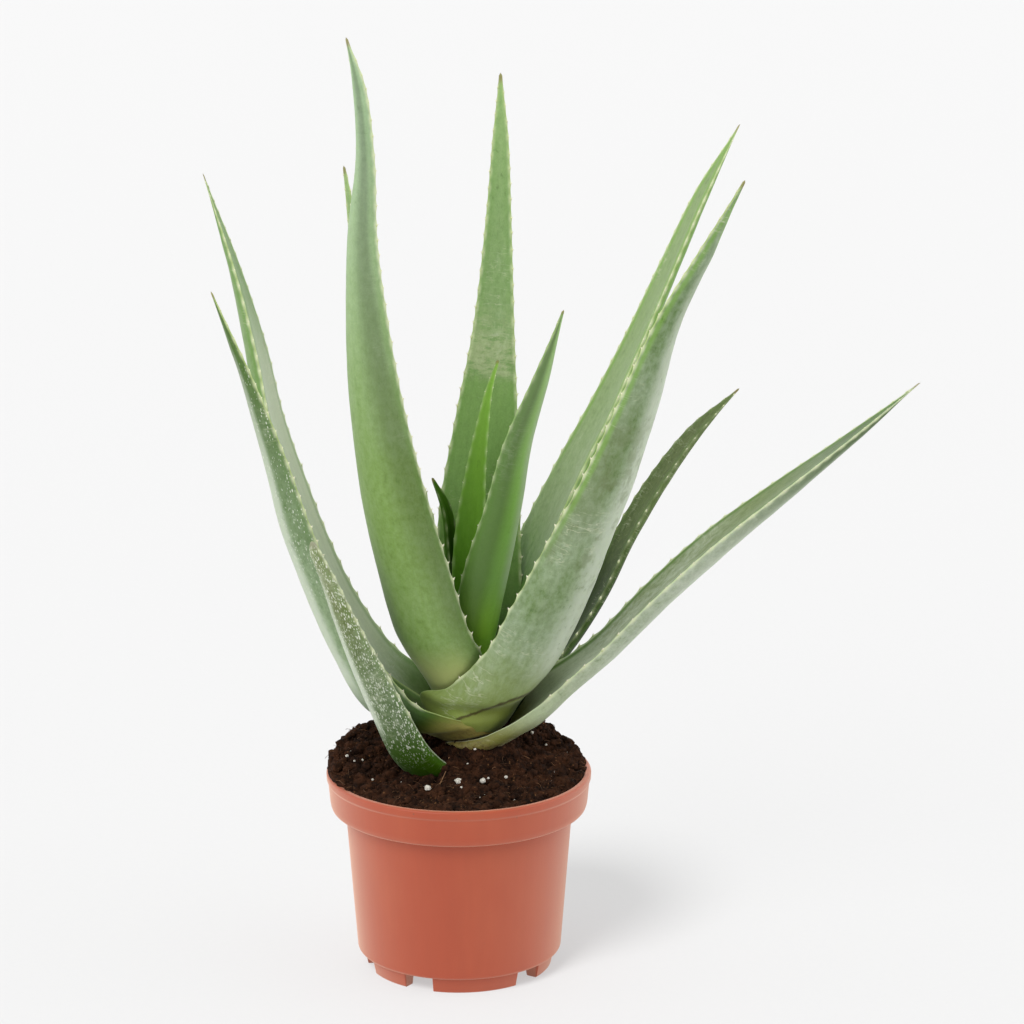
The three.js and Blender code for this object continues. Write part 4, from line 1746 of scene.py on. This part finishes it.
LEAVES = [
    Leaf("h", 80, (120, 4), (120, 60, 30), 0, 0.6, 5, 0.3, [
        (6, 17, 150, 9.5), (5, 16, 175, 8.5), (6, 17, 200, 7.5), (8, 18, 225, 5), (11, 18, 247, 3),
        (14, 18, 264, 1.5), (18, 18, 278, 0.5),
    ], YOUNG_FINISH, tooth_scale=0.55, waviness=0.15, seed=1),
    Leaf("j", 157, (118, 5), (120, 60, 30), 0, 0.6, 5, 0.35, [
        (-2, 18, 150, 6), (-3, 19, 172, 5.5), (-4, 20, 190, 5), (-6, 20, 208, 4), (-12, 20, 223, 1),
    ], SHADY_FINISH, tooth_scale=0.5, waviness=0.15, seed=2),
    Leaf("i", 308, (117, 6), (115, 55, 25), 0, 0.55, 8, 0.2, [
        (7, 4, 141, 14), (11, -2, 166, 13.5), (16, -8, 191, 13), (22, -14, 218, 10.5),
        (28, -20, 249, 8), (37, -25, 278, 4.8), (46.5, -29, 311, 0.5),
    ], INNER_FINISH, tooth_scale=0.6, waviness=0.2, seed=3),
    Leaf("f", 85, (113, 7), (115, 40, 18), 0, 0.5, 9, 0.16, [
        (9, 27, 140, 22), (9, 32, 170, 21), (10, 37, 205, 19), (13, 43, 245, 14.5),
        (16, 47, 285, 9.5), (18, 51, 330, 6), (19, 53, 370, 3.5), (19, 54, 401, 0.5),
    ], BACK_FINISH, seed=4),
    Leaf("d", 233, (110, 9), (110, 50, 20), 0, 0.55, 11, 0.1, [
        (-6, 0, 131, 22.5), (-16, -12, 160, 22), (-23, -19, 189, 21), (-31, -27, 228, 18.5),
        (-37, -33, 270, 15), (-40, -37, 308, 11.5), (-41, -39, 344, 8), (-39, -40, 379, 5),
        (-41, -40, 409, 3.5), (-46, -40, 431, 0.5),
    ], CENTRE_FINISH, seed=5, rows=190),
    Leaf("k", 18, (110, 9), (115, 50, 20), 0, 0.5, 10, 0.12, [
        (18, 19, 130, 22), (26, 23, 156, 20), (39, 28, 188, 19), (52, 32, 218, 16.5),
        (68, 36, 251, 14), (82, 39, 283, 11), (96, 42, 316, 9), (110, 45, 348, 6.5),
        (126, 48, 379, 0.5),
    ], TALL_RIGHT_FINISH, seed=6),
    Leaf("e", 133, (109, 10), (115, 45, 20), 0, 0.5, 9, 0.15, [
        (-6, 24, 130, 17), (-15, 33, 160, 14), (-23, 41, 195, 12.5), (-32, 48, 235, 9.5),
        (-40, 55, 275, 7.5), (-46, 60, 315, 4.5), (-52, 65, 357, 0.5),
    ], BACK_FINISH, seed=7),
    Leaf("g", 316, (106, 12), (115, 55, 20), 0, 0.5, 12, 0.1, [
        (18, 3, 119, 46), (32, -8, 144, 26), (44, -18, 171, 23.5), (56, -27, 202, 20.5),
        (69, -36, 236, 17), (80, -44, 270, 13.5), (92, -52, 310, 8.5), (107, -58, 342, 5),
        (122, -62, 374, 0.5),
    ], PALE_FINISH, 1, G_HEM, seed=8, rows=190, around=56, waviness=0.6),
    Leaf("l", 22, (104, 11), (115, 45, 20), -4, 0.55, 9, 0.2, [
        (25, 23, 116, 14), (45, 34, 135, 10), (63, 44, 159, 9), (77, 53, 186, 9.5),
        (92, 61, 210, 9), (109, 69, 232, 6.5), (129, 76, 251, 0.5),
    ], DARK_FINISH, seed=9),
    Leaf("a", 170, (104, 12.5), (120, 50, 20), 5, 0.55, 10, 0.14, [
        (-17, 16, 114, 22), (-35, 17, 133, 17), (-53, 19, 160, 16), (-66, 21, 189, 15.5),
        (-76, 23, 217, 15.5), (-85, 25, 246, 15), (-91, 27, 280, 12), (-100, 29, 318, 6.5),
        (-113, 30, 360, 0.5),
    ], SIDE_FINISH, seed=10),
    Leaf("b", 214, (103, 13.5), (120, 50, 20), 2, 0.55, 10, 0.14, [
        (-15, 4, 111, 26), (-35, -8, 126, 19.5), (-50, -17, 153, 15.5), (-62, -23, 182, 13),
        (-72, -29, 212, 11.5), (-81, -34, 248, 8.5), (-92, -38, 285, 4.5), (-105, -42, 322, 0.5),
    ], SPOTTED_FINISH, -1, B_HEM, seed=11),
    Leaf("m", 5, (101, 16), (132, 55, 25), -6, 0.6, 10, 0.12, [
        (27, 11, 110, 22), (43, 8, 126, 14), (65, 5, 145, 12.5), (88, 2, 170, 13.5),
        (114, -1, 196, 13.5), (143, -3, 221, 11), (174, -4, 247, 6), (204, -5, 273, 0.5),
    ], LONG_FINISH, 1, M_HEM, seed=12),
    Leaf("c", 232, (80, 18), (80, 50, 30), 0, 0.7, 8, 0.36, [
        (-12, -8, 90, 14), (-23, -19, 105, 12.5), (-32, -27, 127, 10.5), (-41, -34, 150, 9),
        (-50, -40, 174, 6.5), (-57, -43, 194, 4.5), (-62, -46, 207, 3.2), (-63, -46, 212, 1.8),
    ], FLECKED_FINISH, tooth_scale=0.7, seed=13),
]


# ------------------------------ pot


@dataclass
class Pot:
    """The plastic pot, millimetres."""

    height: float = 92
    rim_radius: float = 60
    band_height: float = 17
    band_foot_radius: float = 58.3
    body_top_radius: float = 51.5
    body_foot_radius: float = 46.4
    foot_height: float = 7.8
    foot_top_radius: float = 43.6
    foot_radius: float = 42
    wall: float = 1.8
    rim_lip: float = 2.6
    floor_top: float = 9.8
    foot_inner_radius: float = 37
    dish_height: float = 7.4
    pad_radius: float = 15
    notch_inner_radius: float = 35
    notch_height: float = 6.6
    notches: Tuple[Tuple[float, float], ...] = ((-33.9, -15.9), (38.1, 56.1))
    notch_repeats: int = 3
    segments: int = 240

    def inner_radius(self, z: float) -> float:
        """Radius of the inner wall below the band.

        Args:
            z: the height.

        Returns:
            The radius there.
        """
        band = self.height - self.band_height
        slope = (self.body_top_radius - self.body_foot_radius) / (band - self.foot_height)
        return self.body_foot_radius + slope * (z - self.foot_height) - self.wall

    def profile(self) -> List[Tuple[float, float]]:
        """The rounded outline of the wall.

        Returns:
            (radius, height), from the middle of the underside outwards and round.
        """
        band = self.height - self.band_height
        shelf = band + self.wall
        top, lip = self.height, self.rim_radius - self.rim_lip
        return rounded([
            (0, 0, 0),
            (self.pad_radius, 0, 0.3),
            (self.pad_radius + 1.5, self.dish_height, 0.5),
            (self.foot_inner_radius - 1.5, self.dish_height, 0.5),
            (self.foot_inner_radius, 0, 0.4),
            (self.foot_radius, 0, 0.5),
            (self.foot_top_radius, self.foot_height - 0.4, 0.4),
            (self.body_foot_radius - 0.5, self.foot_height, 0.4),
            (self.body_foot_radius, self.foot_height + 0.9, 0.6),
            (self.body_top_radius, band - 0.5, 0.8),
            (self.band_foot_radius - 0.7, band, 1.4),
            (self.band_foot_radius, band + 2.4, 2.2),
            (self.rim_radius - 0.75, top - 4.4, 0.4),
            (self.rim_radius - 0.1, top - 3.4, 0.5),
            (self.rim_radius, top - 0.6, 0.6),
            (self.rim_radius - 0.7, top, 0.6),
            (lip, top, 0.5),
            (lip - 0.3, top - 0.9, 0.5),
            (self.band_foot_radius - self.wall, shelf, 0.8),
            (self.inner_radius(shelf), shelf, 0.8),
            (self.inner_radius(self.floor_top), self.floor_top, 1.2),
            (0, self.floor_top, 0),
        ])

    def columns(self) -> List[Tuple[float, bool]]:
        """The columns that the wall is turned from, closer together at the notches' sides.

        Returns:
            (angle in degrees, whether it is inside a notch) of each.
        """
        notches = []
        for turn in range(self.notch_repeats):
            offset = turn * 360 / self.notch_repeats - 90
            for first, last in self.notches:
                notches.append(((first + offset) % 360, (last + offset) % 360))
        columns: List[Tuple[float, bool]] = []
        for step in range(self.segments):
            angle = step * 360 / self.segments
            inside = any((angle - a) % 360 < (b - a) % 360 for a, b in notches)
            if all(abs((angle - q + 180) % 360 - 180) > 0.5 for pair in notches for q in pair):
                columns.append((angle, inside))
        for first, last in notches:
            columns += [(first - 0.35, False), (first, True), (last, True), (last + 0.35, False)]
        return sorted(columns)

    def build(self, plastic: Material) -> None:
        """Builds and dresses the pot.

        Args:
            plastic: its material.
        """
        whole = self.profile()
        notched = [
            (r, max(z, self.notch_height) if r > self.notch_inner_radius else z) for r, z in whole
        ]
        columns = self.columns()
        piece = lathe(
            "pot_wall",
            lambda number: notched if columns[number][1] else whole,
            [math.radians(angle) for angle, _ in columns],
        )
        clad(piece, plastic, "pot", "pot")


# ------------------------------ soil

# Small white grains: x, y and size.
PEBBLES = [
    (21.4, -21.1, 1.6), (4.1, -14.7, 1.2), (7.4, -9.5, 1.3), (13.5, -23, 1.2), (18.6, -4, 1.0),
    (33.2, 15.3, 1.6), (39.6, 11.9, 1.2), (25, -37.1, 1.2), (-50.4, -5.3, 1.6), (-43.4, -6.3, 1.3),
    (-38.3, -23.4, 1.2), (-45, -19.7, 1.0), (-47, -8.5, 1.0), (1.5, -33, 1.1), (-4, -37, 1.0),
]
# The root strand's path over the peat.
ROOT = [
    (-4.5, -9.6, 101), (-4.3, -13, 101.5), (-5, -18, 98.6), (-7.2, -22.5, 94.6),
    (-8.6, -25.4, 92.6),
]
ROOT_STEPS = 24


@dataclass(frozen=True)
class Scatter:
    """Loose bits on the peat.

    density is per square metre, least and most are their sizes in millimetres, and sunk is how
    far each is lifted, as a share of its size.
    """

    name: str
    form: ScatterForm
    density: float
    least: float
    most: float
    sunk: float
    seed: int

    def build(self, ground: Object, finish: Material, slot: str) -> None:
        """Scatters and dresses the bits.

        Args:
            ground: the sheet they lie on, which is removed.
            finish: their material.
            slot: the name of a material slot.
        """
        sizes = {
            "Density": self.density, "Least": self.least * MM, "Most": self.most * MM,
            "Sunk": self.sunk,
        }
        tree = ScatterTree(self.name, self.form, sizes, self.seed)
        clad(tree.grow(self.name, ground, finish), finish, slot)


@dataclass
class Soil:
    """The peat in the pot, millimetres."""

    pot: Pot
    rim_level: float = 90.6
    crown_rise: float = 17
    crown_spread: float = 30
    mound_rise: float = 8
    mound_spread: float = 21
    heap_rise: float = 12
    heap_azimuth: float = 155
    heap_spread: float = 48
    back_rise: float = 9
    back_azimuth: float = 55
    back_spread: float = 44
    spill: float = 2.6
    lump: float = 1.4
    clearance: float = 0.3
    rings: int = 120
    segments: int = 360
    clods: Scatter = Scatter("soil_clods", ScatterForm.CRUMB, 120000.0, 1.0, 5.6, -0.12, 11)
    crumbs: Scatter = Scatter("soil_crumbs", ScatterForm.CRUMB, 420000.0, 0.4, 1.6, 0.0, 12)
    fibres: Scatter = Scatter("soil_fibres", ScatterForm.STRAND, 60000.0, 1.5, 7.0, 0.03, 23)
    specks: Scatter = Scatter("soil_specks", ScatterForm.CRUMB, 3800.0, 0.3, 0.8, 0.3, 37)

    def level(self, x: float, y: float) -> float:
        """Height of the peat's mean surface.

        Args:
            x: place to the right.
            y: place to the back.

        Returns:
            The height there.
        """
        radius = math.hypot(x, y)
        angle = math.degrees(math.atan2(y, x))

        def bump(centre: float, spread: float) -> float:
            """A smooth swell round an azimuth."""
            away = abs((angle - centre + 540) % 360 - 180) / spread
            return math.exp(-away * away)

        away = math.hypot(x - STEM_X, y - STEM_Y)
        crown = self.crown_rise * math.exp(-((away / self.crown_spread) ** 2))
        mound = self.mound_rise * math.exp(-((away / self.mound_spread) ** 2))
        outward = min(1.0, radius / 46)
        heap = self.heap_rise * bump(self.heap_azimuth, self.heap_spread)
        back = self.back_rise * bump(self.back_azimuth, self.back_spread)
        lumps = math.sin(x * 0.47 + 1.3) * math.cos(y * 0.53 - 0.4) + math.sin(x * 0.9 - y * 0.7)
        level = self.rim_level + crown + mound + outward * outward * (heap + back)
        return level + 0.5 * self.lump * lumps

    def surface(self, x: float, y: float) -> float:
        """Height of the peat with its clods and crumbs.

        Args:
            x: place to the right.
            y: place to the back.

        Returns:
            The height there.
        """
        place = Vector((x, y, 0.0))
        clods = noise.noise(place / 7.0) * 2.6
        crumbs = abs(noise.noise(place / 2.6 + Vector((9, 4, 2)))) * 2.2
        grit = abs(noise.noise(place / 1.2 + Vector((3, 8, 1)))) * 0.9
        return self.level(x, y) + clods + crumbs + grit - 0.7

    def body(self) -> Object:
        """The closed body of peat.

        Returns:
            The object.
        """
        pot, gap = self.pot, self.clearance
        shelf = pot.height - pot.band_height + pot.wall + gap
        floor = pot.floor_top + gap
        rim = pot.rim_radius - pot.rim_lip - 0.3 - gap
        sides = [
            (0.0, floor),
            (pot.inner_radius(floor) - gap - 1.2, floor),
            (pot.inner_radius(floor + 1.2) - gap, floor + 1.2),
            (pot.inner_radius(shelf) - gap, shelf),
            (pot.band_foot_radius - pot.wall - gap - 0.8, shelf),
            (pot.band_foot_radius - pot.wall - gap, shelf + 0.8),
            (rim - 0.2, pot.height - 5),
        ]
        angles = [2 * math.pi * step / self.segments for step in range(self.segments)]
        shares = [(1 - ring / self.rings) ** 0.85 for ring in range(self.rings + 1)]
        lip = pot.height + 0.15

        def column(number: int) -> List[Tuple[float, float]]:
            """The outline at one column.

            Args:
                number: the column's number.

            Returns:
                Radius and height in millimetres, from the middle of the floor to the top.
            """
            angle = angles[number]
            across, up = math.cos(angle), math.sin(angle)
            over = self.level(rim * across, rim * up) - lip
            edge = rim + self.spill * min(1.0, max(0.0, over / 4))
            bank = [(rim, min(lip, lip + over - 0.3)), (edge, min(lip + 0.05, lip + over - 0.2))]
            top = [
                (r * edge, self.surface(r * edge * across, r * edge * up) - self._bank(r, over))
                for r in shares[:-1]
            ]
            return sides + bank + top + [(0.0, self.surface(0.0, 0.0))]

        return lathe("soil_body", column, angles)

    @staticmethod
    def _bank(share: float, over: float) -> float:
        """How far the heap's rounded bank lies under its level near the rim."""
        return max(0.0, over) * 0.8 * max(0.0, (share - 0.88) / 0.12) ** 2

    def ground(self) -> Object:
        """An open sheet over the peat's surface, for scattering on.

        Returns:
            The object.
        """
        inner = self.pot.rim_radius - self.pot.rim_lip - 1.2
        points, faces = [], []
        rings, segments = 26, 72
        for ring in range(rings + 1):
            for step in range(segments):
                angle = 2 * math.pi * step / segments
                across, up = math.cos(angle), math.sin(angle)
                over = self.level(inner * across, inner * up) - self.pot.height
                rim = inner + (self.spill + 0.6) * min(1.0, max(0.0, over / 4))
                r = rim * (0.16 + 0.84 * ring / rings)
                x, y = r * across, r * up
                sunk = self._bank(r / rim, over)
                points.append((x, y, self.surface(x, y) - sunk))
        for ring in range(rings):
            for step in range(segments):
                beside = (step + 1) % segments
                a, b = ring * segments + step, ring * segments + beside
                faces.append((a, a + segments, b + segments, b))
        return mesh_object("soil_ground", np.array(points) * MM, faces)

    def build(
        self, peat: Material, fibre: Material, chalk: Material
    ) -> None:
        """Builds and dresses the peat, its crumbs, fibres and small white grains.

        Args:
            peat: the peat's material.
            fibre: the fibres' material.
            chalk: the white grains' material.
        """
        clad(self.body(), peat, "soil", "soil")
        self.clods.build(self.ground(), peat, "soil")
        self.crumbs.build(self.ground(), peat, "soil")
        self.fibres.build(self.ground(), fibre, "soil")
        self.specks.build(self.ground(), chalk, "perlite")
        self._pebbles(chalk)
        self._root()

    def _pebbles(self, chalk: Material) -> None:
        """Lays the small white grains that stand out in the photograph.

        Args:
            chalk: their material.
        """
        work = bmesh.new()
        for number, (x, y, size) in enumerate(PEBBLES):
            Grain("", x, y, size, number + 7).shape(self, work, 2)
        clad(stone_object("soil_pebbles", work), chalk, "perlite")

    def _root(self) -> None:
        """Lays the long pale root strand."""
        finish = PALE_ROOT.material("root")
        path = centripetal(np.array(ROOT, float), np.linspace(0, 1, ROOT_STEPS)) * MM
        edges = [(step, step + 1) for step in range(ROOT_STEPS - 1)]
        ground = mesh_object("soil_root_path", path, [], edges)
        clad(SweepTree().grow("soil_roots", ground, finish), finish, "soil")


@dataclass
class Grain:
    """One large loose white grain, millimetres."""

    letter: str
    x: float
    y: float
    size: float
    seed: int

    def shape(self, soil: Soil, work: bmesh.types.BMesh, detail: int) -> None:
        """Adds the grain's form where the peat carries it.

        Args:
            soil: the peat it lies on.
            work: the mesh it is added to.
            detail: how often its faces are split.
        """
        ball = bmesh.ops.create_icosphere(work, subdivisions=detail, radius=self.size / 2 * MM)
        shift = Vector((self.seed * 3.1, 0.7, 0.2))
        for vert in ball["verts"]:
            way = vert.co.normalized()
            knobs = noise.noise(way * 1.6 + shift) * 0.34 + noise.noise(way * 4.2 + shift) * 0.1
            vert.co *= 1 + knobs
            vert.co.z *= 0.86
        lift = soil.surface(self.x, self.y) + 0.32 * self.size
        bmesh.ops.translate(work, verts=ball["verts"], vec=Vector((self.x, self.y, lift)) * MM)

    def build(self, soil: Soil, chalk: Material) -> None:
        """Builds and dresses the grain where the peat carries it.

        Args:
            soil: the peat it lies on.
            chalk: its material.
        """
        work = bmesh.new()
        self.shape(soil, work, 4)
        piece = stone_object(f"grain_{self.letter}_stone", work)
        clad(piece, chalk, "perlite", "grain_" + self.letter)


@dataclass
class Stem:
    """The short stem that the leaves clasp, millimetres."""

    profile: Tuple[Tuple[float, float], ...] = (
        (0, 58), (9, 58), (12, 94), (11.4, 100), (8.5, 108), (5.5, 115), (2.4, 121), (0, 122),
    )

    def build(self, skin: Material) -> None:
        """Builds and dresses the stem.

        Args:
            skin: its material.
        """
        outline = rounded([(r, z, 1.5) for r, z in self.profile], 3)
        angles = [2 * math.pi * step / 64 for step in range(64)]
        piece = lathe("stem_core", lambda number: outline, angles)
        for vertex in piece.data.vertices:
            x, y, z = vertex.co
            scar = 1 + 0.035 * math.sin(z / MM * 1.1) + 0.03 * noise.noise(Vector((x, y, z)) * 160)
            vertex.co = Vector((x * scar + STEM_X * MM, y * scar + STEM_Y * MM, z))
        clad(piece, skin, "stem", "stem")


# ------------------------------ studio


@dataclass(frozen=True)
class Sun:
    """A broad far light, even over the whole floor.

    azimuth is where it stands, degrees to the left of the camera; height is in degrees over the
    floor; spread is its width in degrees, which softens the shadow; power is in watts per
    square metre.
    """

    name: str
    azimuth: float
    height: float
    spread: float
    power: float

    def hang(self) -> Object:
        """Hangs the light.

        Returns:
            The lamp.
        """
        data = bpy.data.lights.new(self.name, "SUN")
        data.angle = math.radians(self.spread)
        data.energy = self.power
        lamp = place_object(self.name, data)
        side, up = math.radians(self.azimuth), math.radians(self.height)
        level = math.cos(up)
        place = Vector((-math.sin(side) * level, -math.cos(side) * level, math.sin(up)))
        lamp.location = place * 3
        lamp.rotation_euler = (-place).to_track_quat("-Z", "Y").to_euler()
        return lamp


@dataclass
class Studio:
    """Pale floor, soft lights and the camera at the photograph's angle."""

    camera_height_deg: float = 15.253
    distance: float = 1.8
    target: Tuple[float, float, float] = (0.024077, 0.0, 0.212536)
    focal_px: float = 4041.039
    frame_px: float = 1024.0
    sensor_mm: float = 36.0
    floor_radius: float = 14.0
    floor_sides: int = 72
    floor_glow: float = 0.53
    tent_light: float = 0.9
    dark_front: float = 0.62
    bright_wings: float = 0.75
    key: Sun = Sun("key", 32.0, 40.0, 40.0, 1.5)
    fill: Sun = Sun("fill", -68.0, 42.0, 60.0, 0.45)
    floor_key: Sun = Sun("floor_key", 30.0, 43.0, 22.0, 5.3)

    def camera(self) -> None:
        """Sets the camera."""
        tilt = math.radians(self.camera_height_deg)
        data = bpy.data.cameras.new("camera")
        data.sensor_width = self.sensor_mm
        data.lens = self.focal_px / self.frame_px * self.sensor_mm
        data.clip_end = 60.0
        camera = place_object("camera", data)
        back = Vector((0.0, -math.cos(tilt), math.sin(tilt))) * self.distance
        camera.location = Vector(self.target) + back
        camera.rotation_euler = (math.radians(90) - tilt, 0.0, 0.0)
        bpy.context.scene.camera = camera

    def floor(self) -> Object:
        """Lays the floor.

        Returns:
            The floor.
        """
        book = NodeBook("floor_paper")
        grain = book.cloud(book.in_space(300, 300, 300), 2)
        paper = book.finish(
            Base_Color=book.mix(grain, srgb(108, 108, 108), srgb(112, 112, 112)),
            Roughness=0.9,
            Emission_Color=srgb(250, 250, 250),
            Emission_Strength=self.floor_glow,
        )
        sides = self.floor_sides
        turns = [2 * math.pi * k / sides for k in range(sides)]
        rim = [
            (self.floor_radius * math.cos(turn), self.floor_radius * math.sin(turn), 0.0)
            for turn in turns
        ]
        faces = [(0, 1 + k, 1 + (k + 1) % sides) for k in range(sides)]
        floor = mesh_object("floor", np.array([(0.0, 0.0, 0.0)] + rim), faces)
        floor.data.materials.append(paper)
        return floor

    @staticmethod
    def group(name: str, *members: Object) -> bpy.types.Collection:
        """A collection that only tells a lamp what it reaches.

        Args:
            name: its name.
            members: the objects in it.

        Returns:
            The collection.
        """
        chosen = bpy.data.collections.new(name)
        for member in members:
            chosen.objects.link(member)
        return chosen

    def tent(self) -> None:
        """Surrounds the plant with a white tent that is darkest on the camera's side."""
        world = bpy.data.worlds.new("studio")
        book = NodeBook(world)
        way = book.place("ShaderNodeTexCoord").outputs["Generated"]
        split = book.place("ShaderNodeSeparateXYZ", {}, {0: way})
        side, depth, _ = (Signal(book, socket) for socket in split.outputs)
        front = depth.between(0.1, -0.8)
        wings = (side * side).between(0.3, 0.9)
        strength = self.tent_light - front * self.dark_front + wings * self.bright_wings
        white = {"Color": (1.0, 1.0, 1.0, 1.0), "Strength": strength}
        light = book.wire("ShaderNodeBackground", {}, white)
        book.place("ShaderNodeOutputWorld", {}, {"Surface": light})
        bpy.context.scene.world = world

    def build(self) -> None:
        """Sets up floor, light and camera."""
        bpy.context.scene.view_settings.view_transform = "Standard"
        self.tent()
        self.key.hang()
        self.fill.hang()
        linking = self.floor_key.hang().light_linking
        linking.receiver_collection = self.group("lit_floor", self.floor())
        pot = [bpy.data.objects[name] for name in ("pot_wall", "soil_body")]
        linking.blocker_collection = self.group("shading", *pot)
        self.camera()


# The three largest loose grains: letter, x, y and size.
GRAINS = (("a", 0, -24, 3.4), ("b", 11, -25.5, 2.6), ("c", -13.5, -32.5, 2.8))


def main() -> None:
    """Builds the plant, its pot and the studio, and reports each piece."""
    logging.basicConfig(level=logging.INFO, format="%(name)s: %(message)s")
    pot = Pot()
    pot.build(PlasticFinish().material("terracotta_plastic"))
    soil = Soil(pot)
    chalk = WHITE_MINERAL.material("white_mineral")
    soil.build(PeatFinish().material("peat"), DRY_FIBRE.material("fibre"), chalk)
    for number, (letter, x, y, size) in enumerate(GRAINS):
        Grain(letter, x, y, size, number + 1).build(soil, chalk)
    Stem().build(STEM_SKIN.material("stem_skin"))
    tree = ToothTree()
    horn = ToothFinish().material("horn")
    for leaf in LEAVES:
        leaf.build(tree, horn)
    Studio().build()


if __name__ == "__main__":
    main()
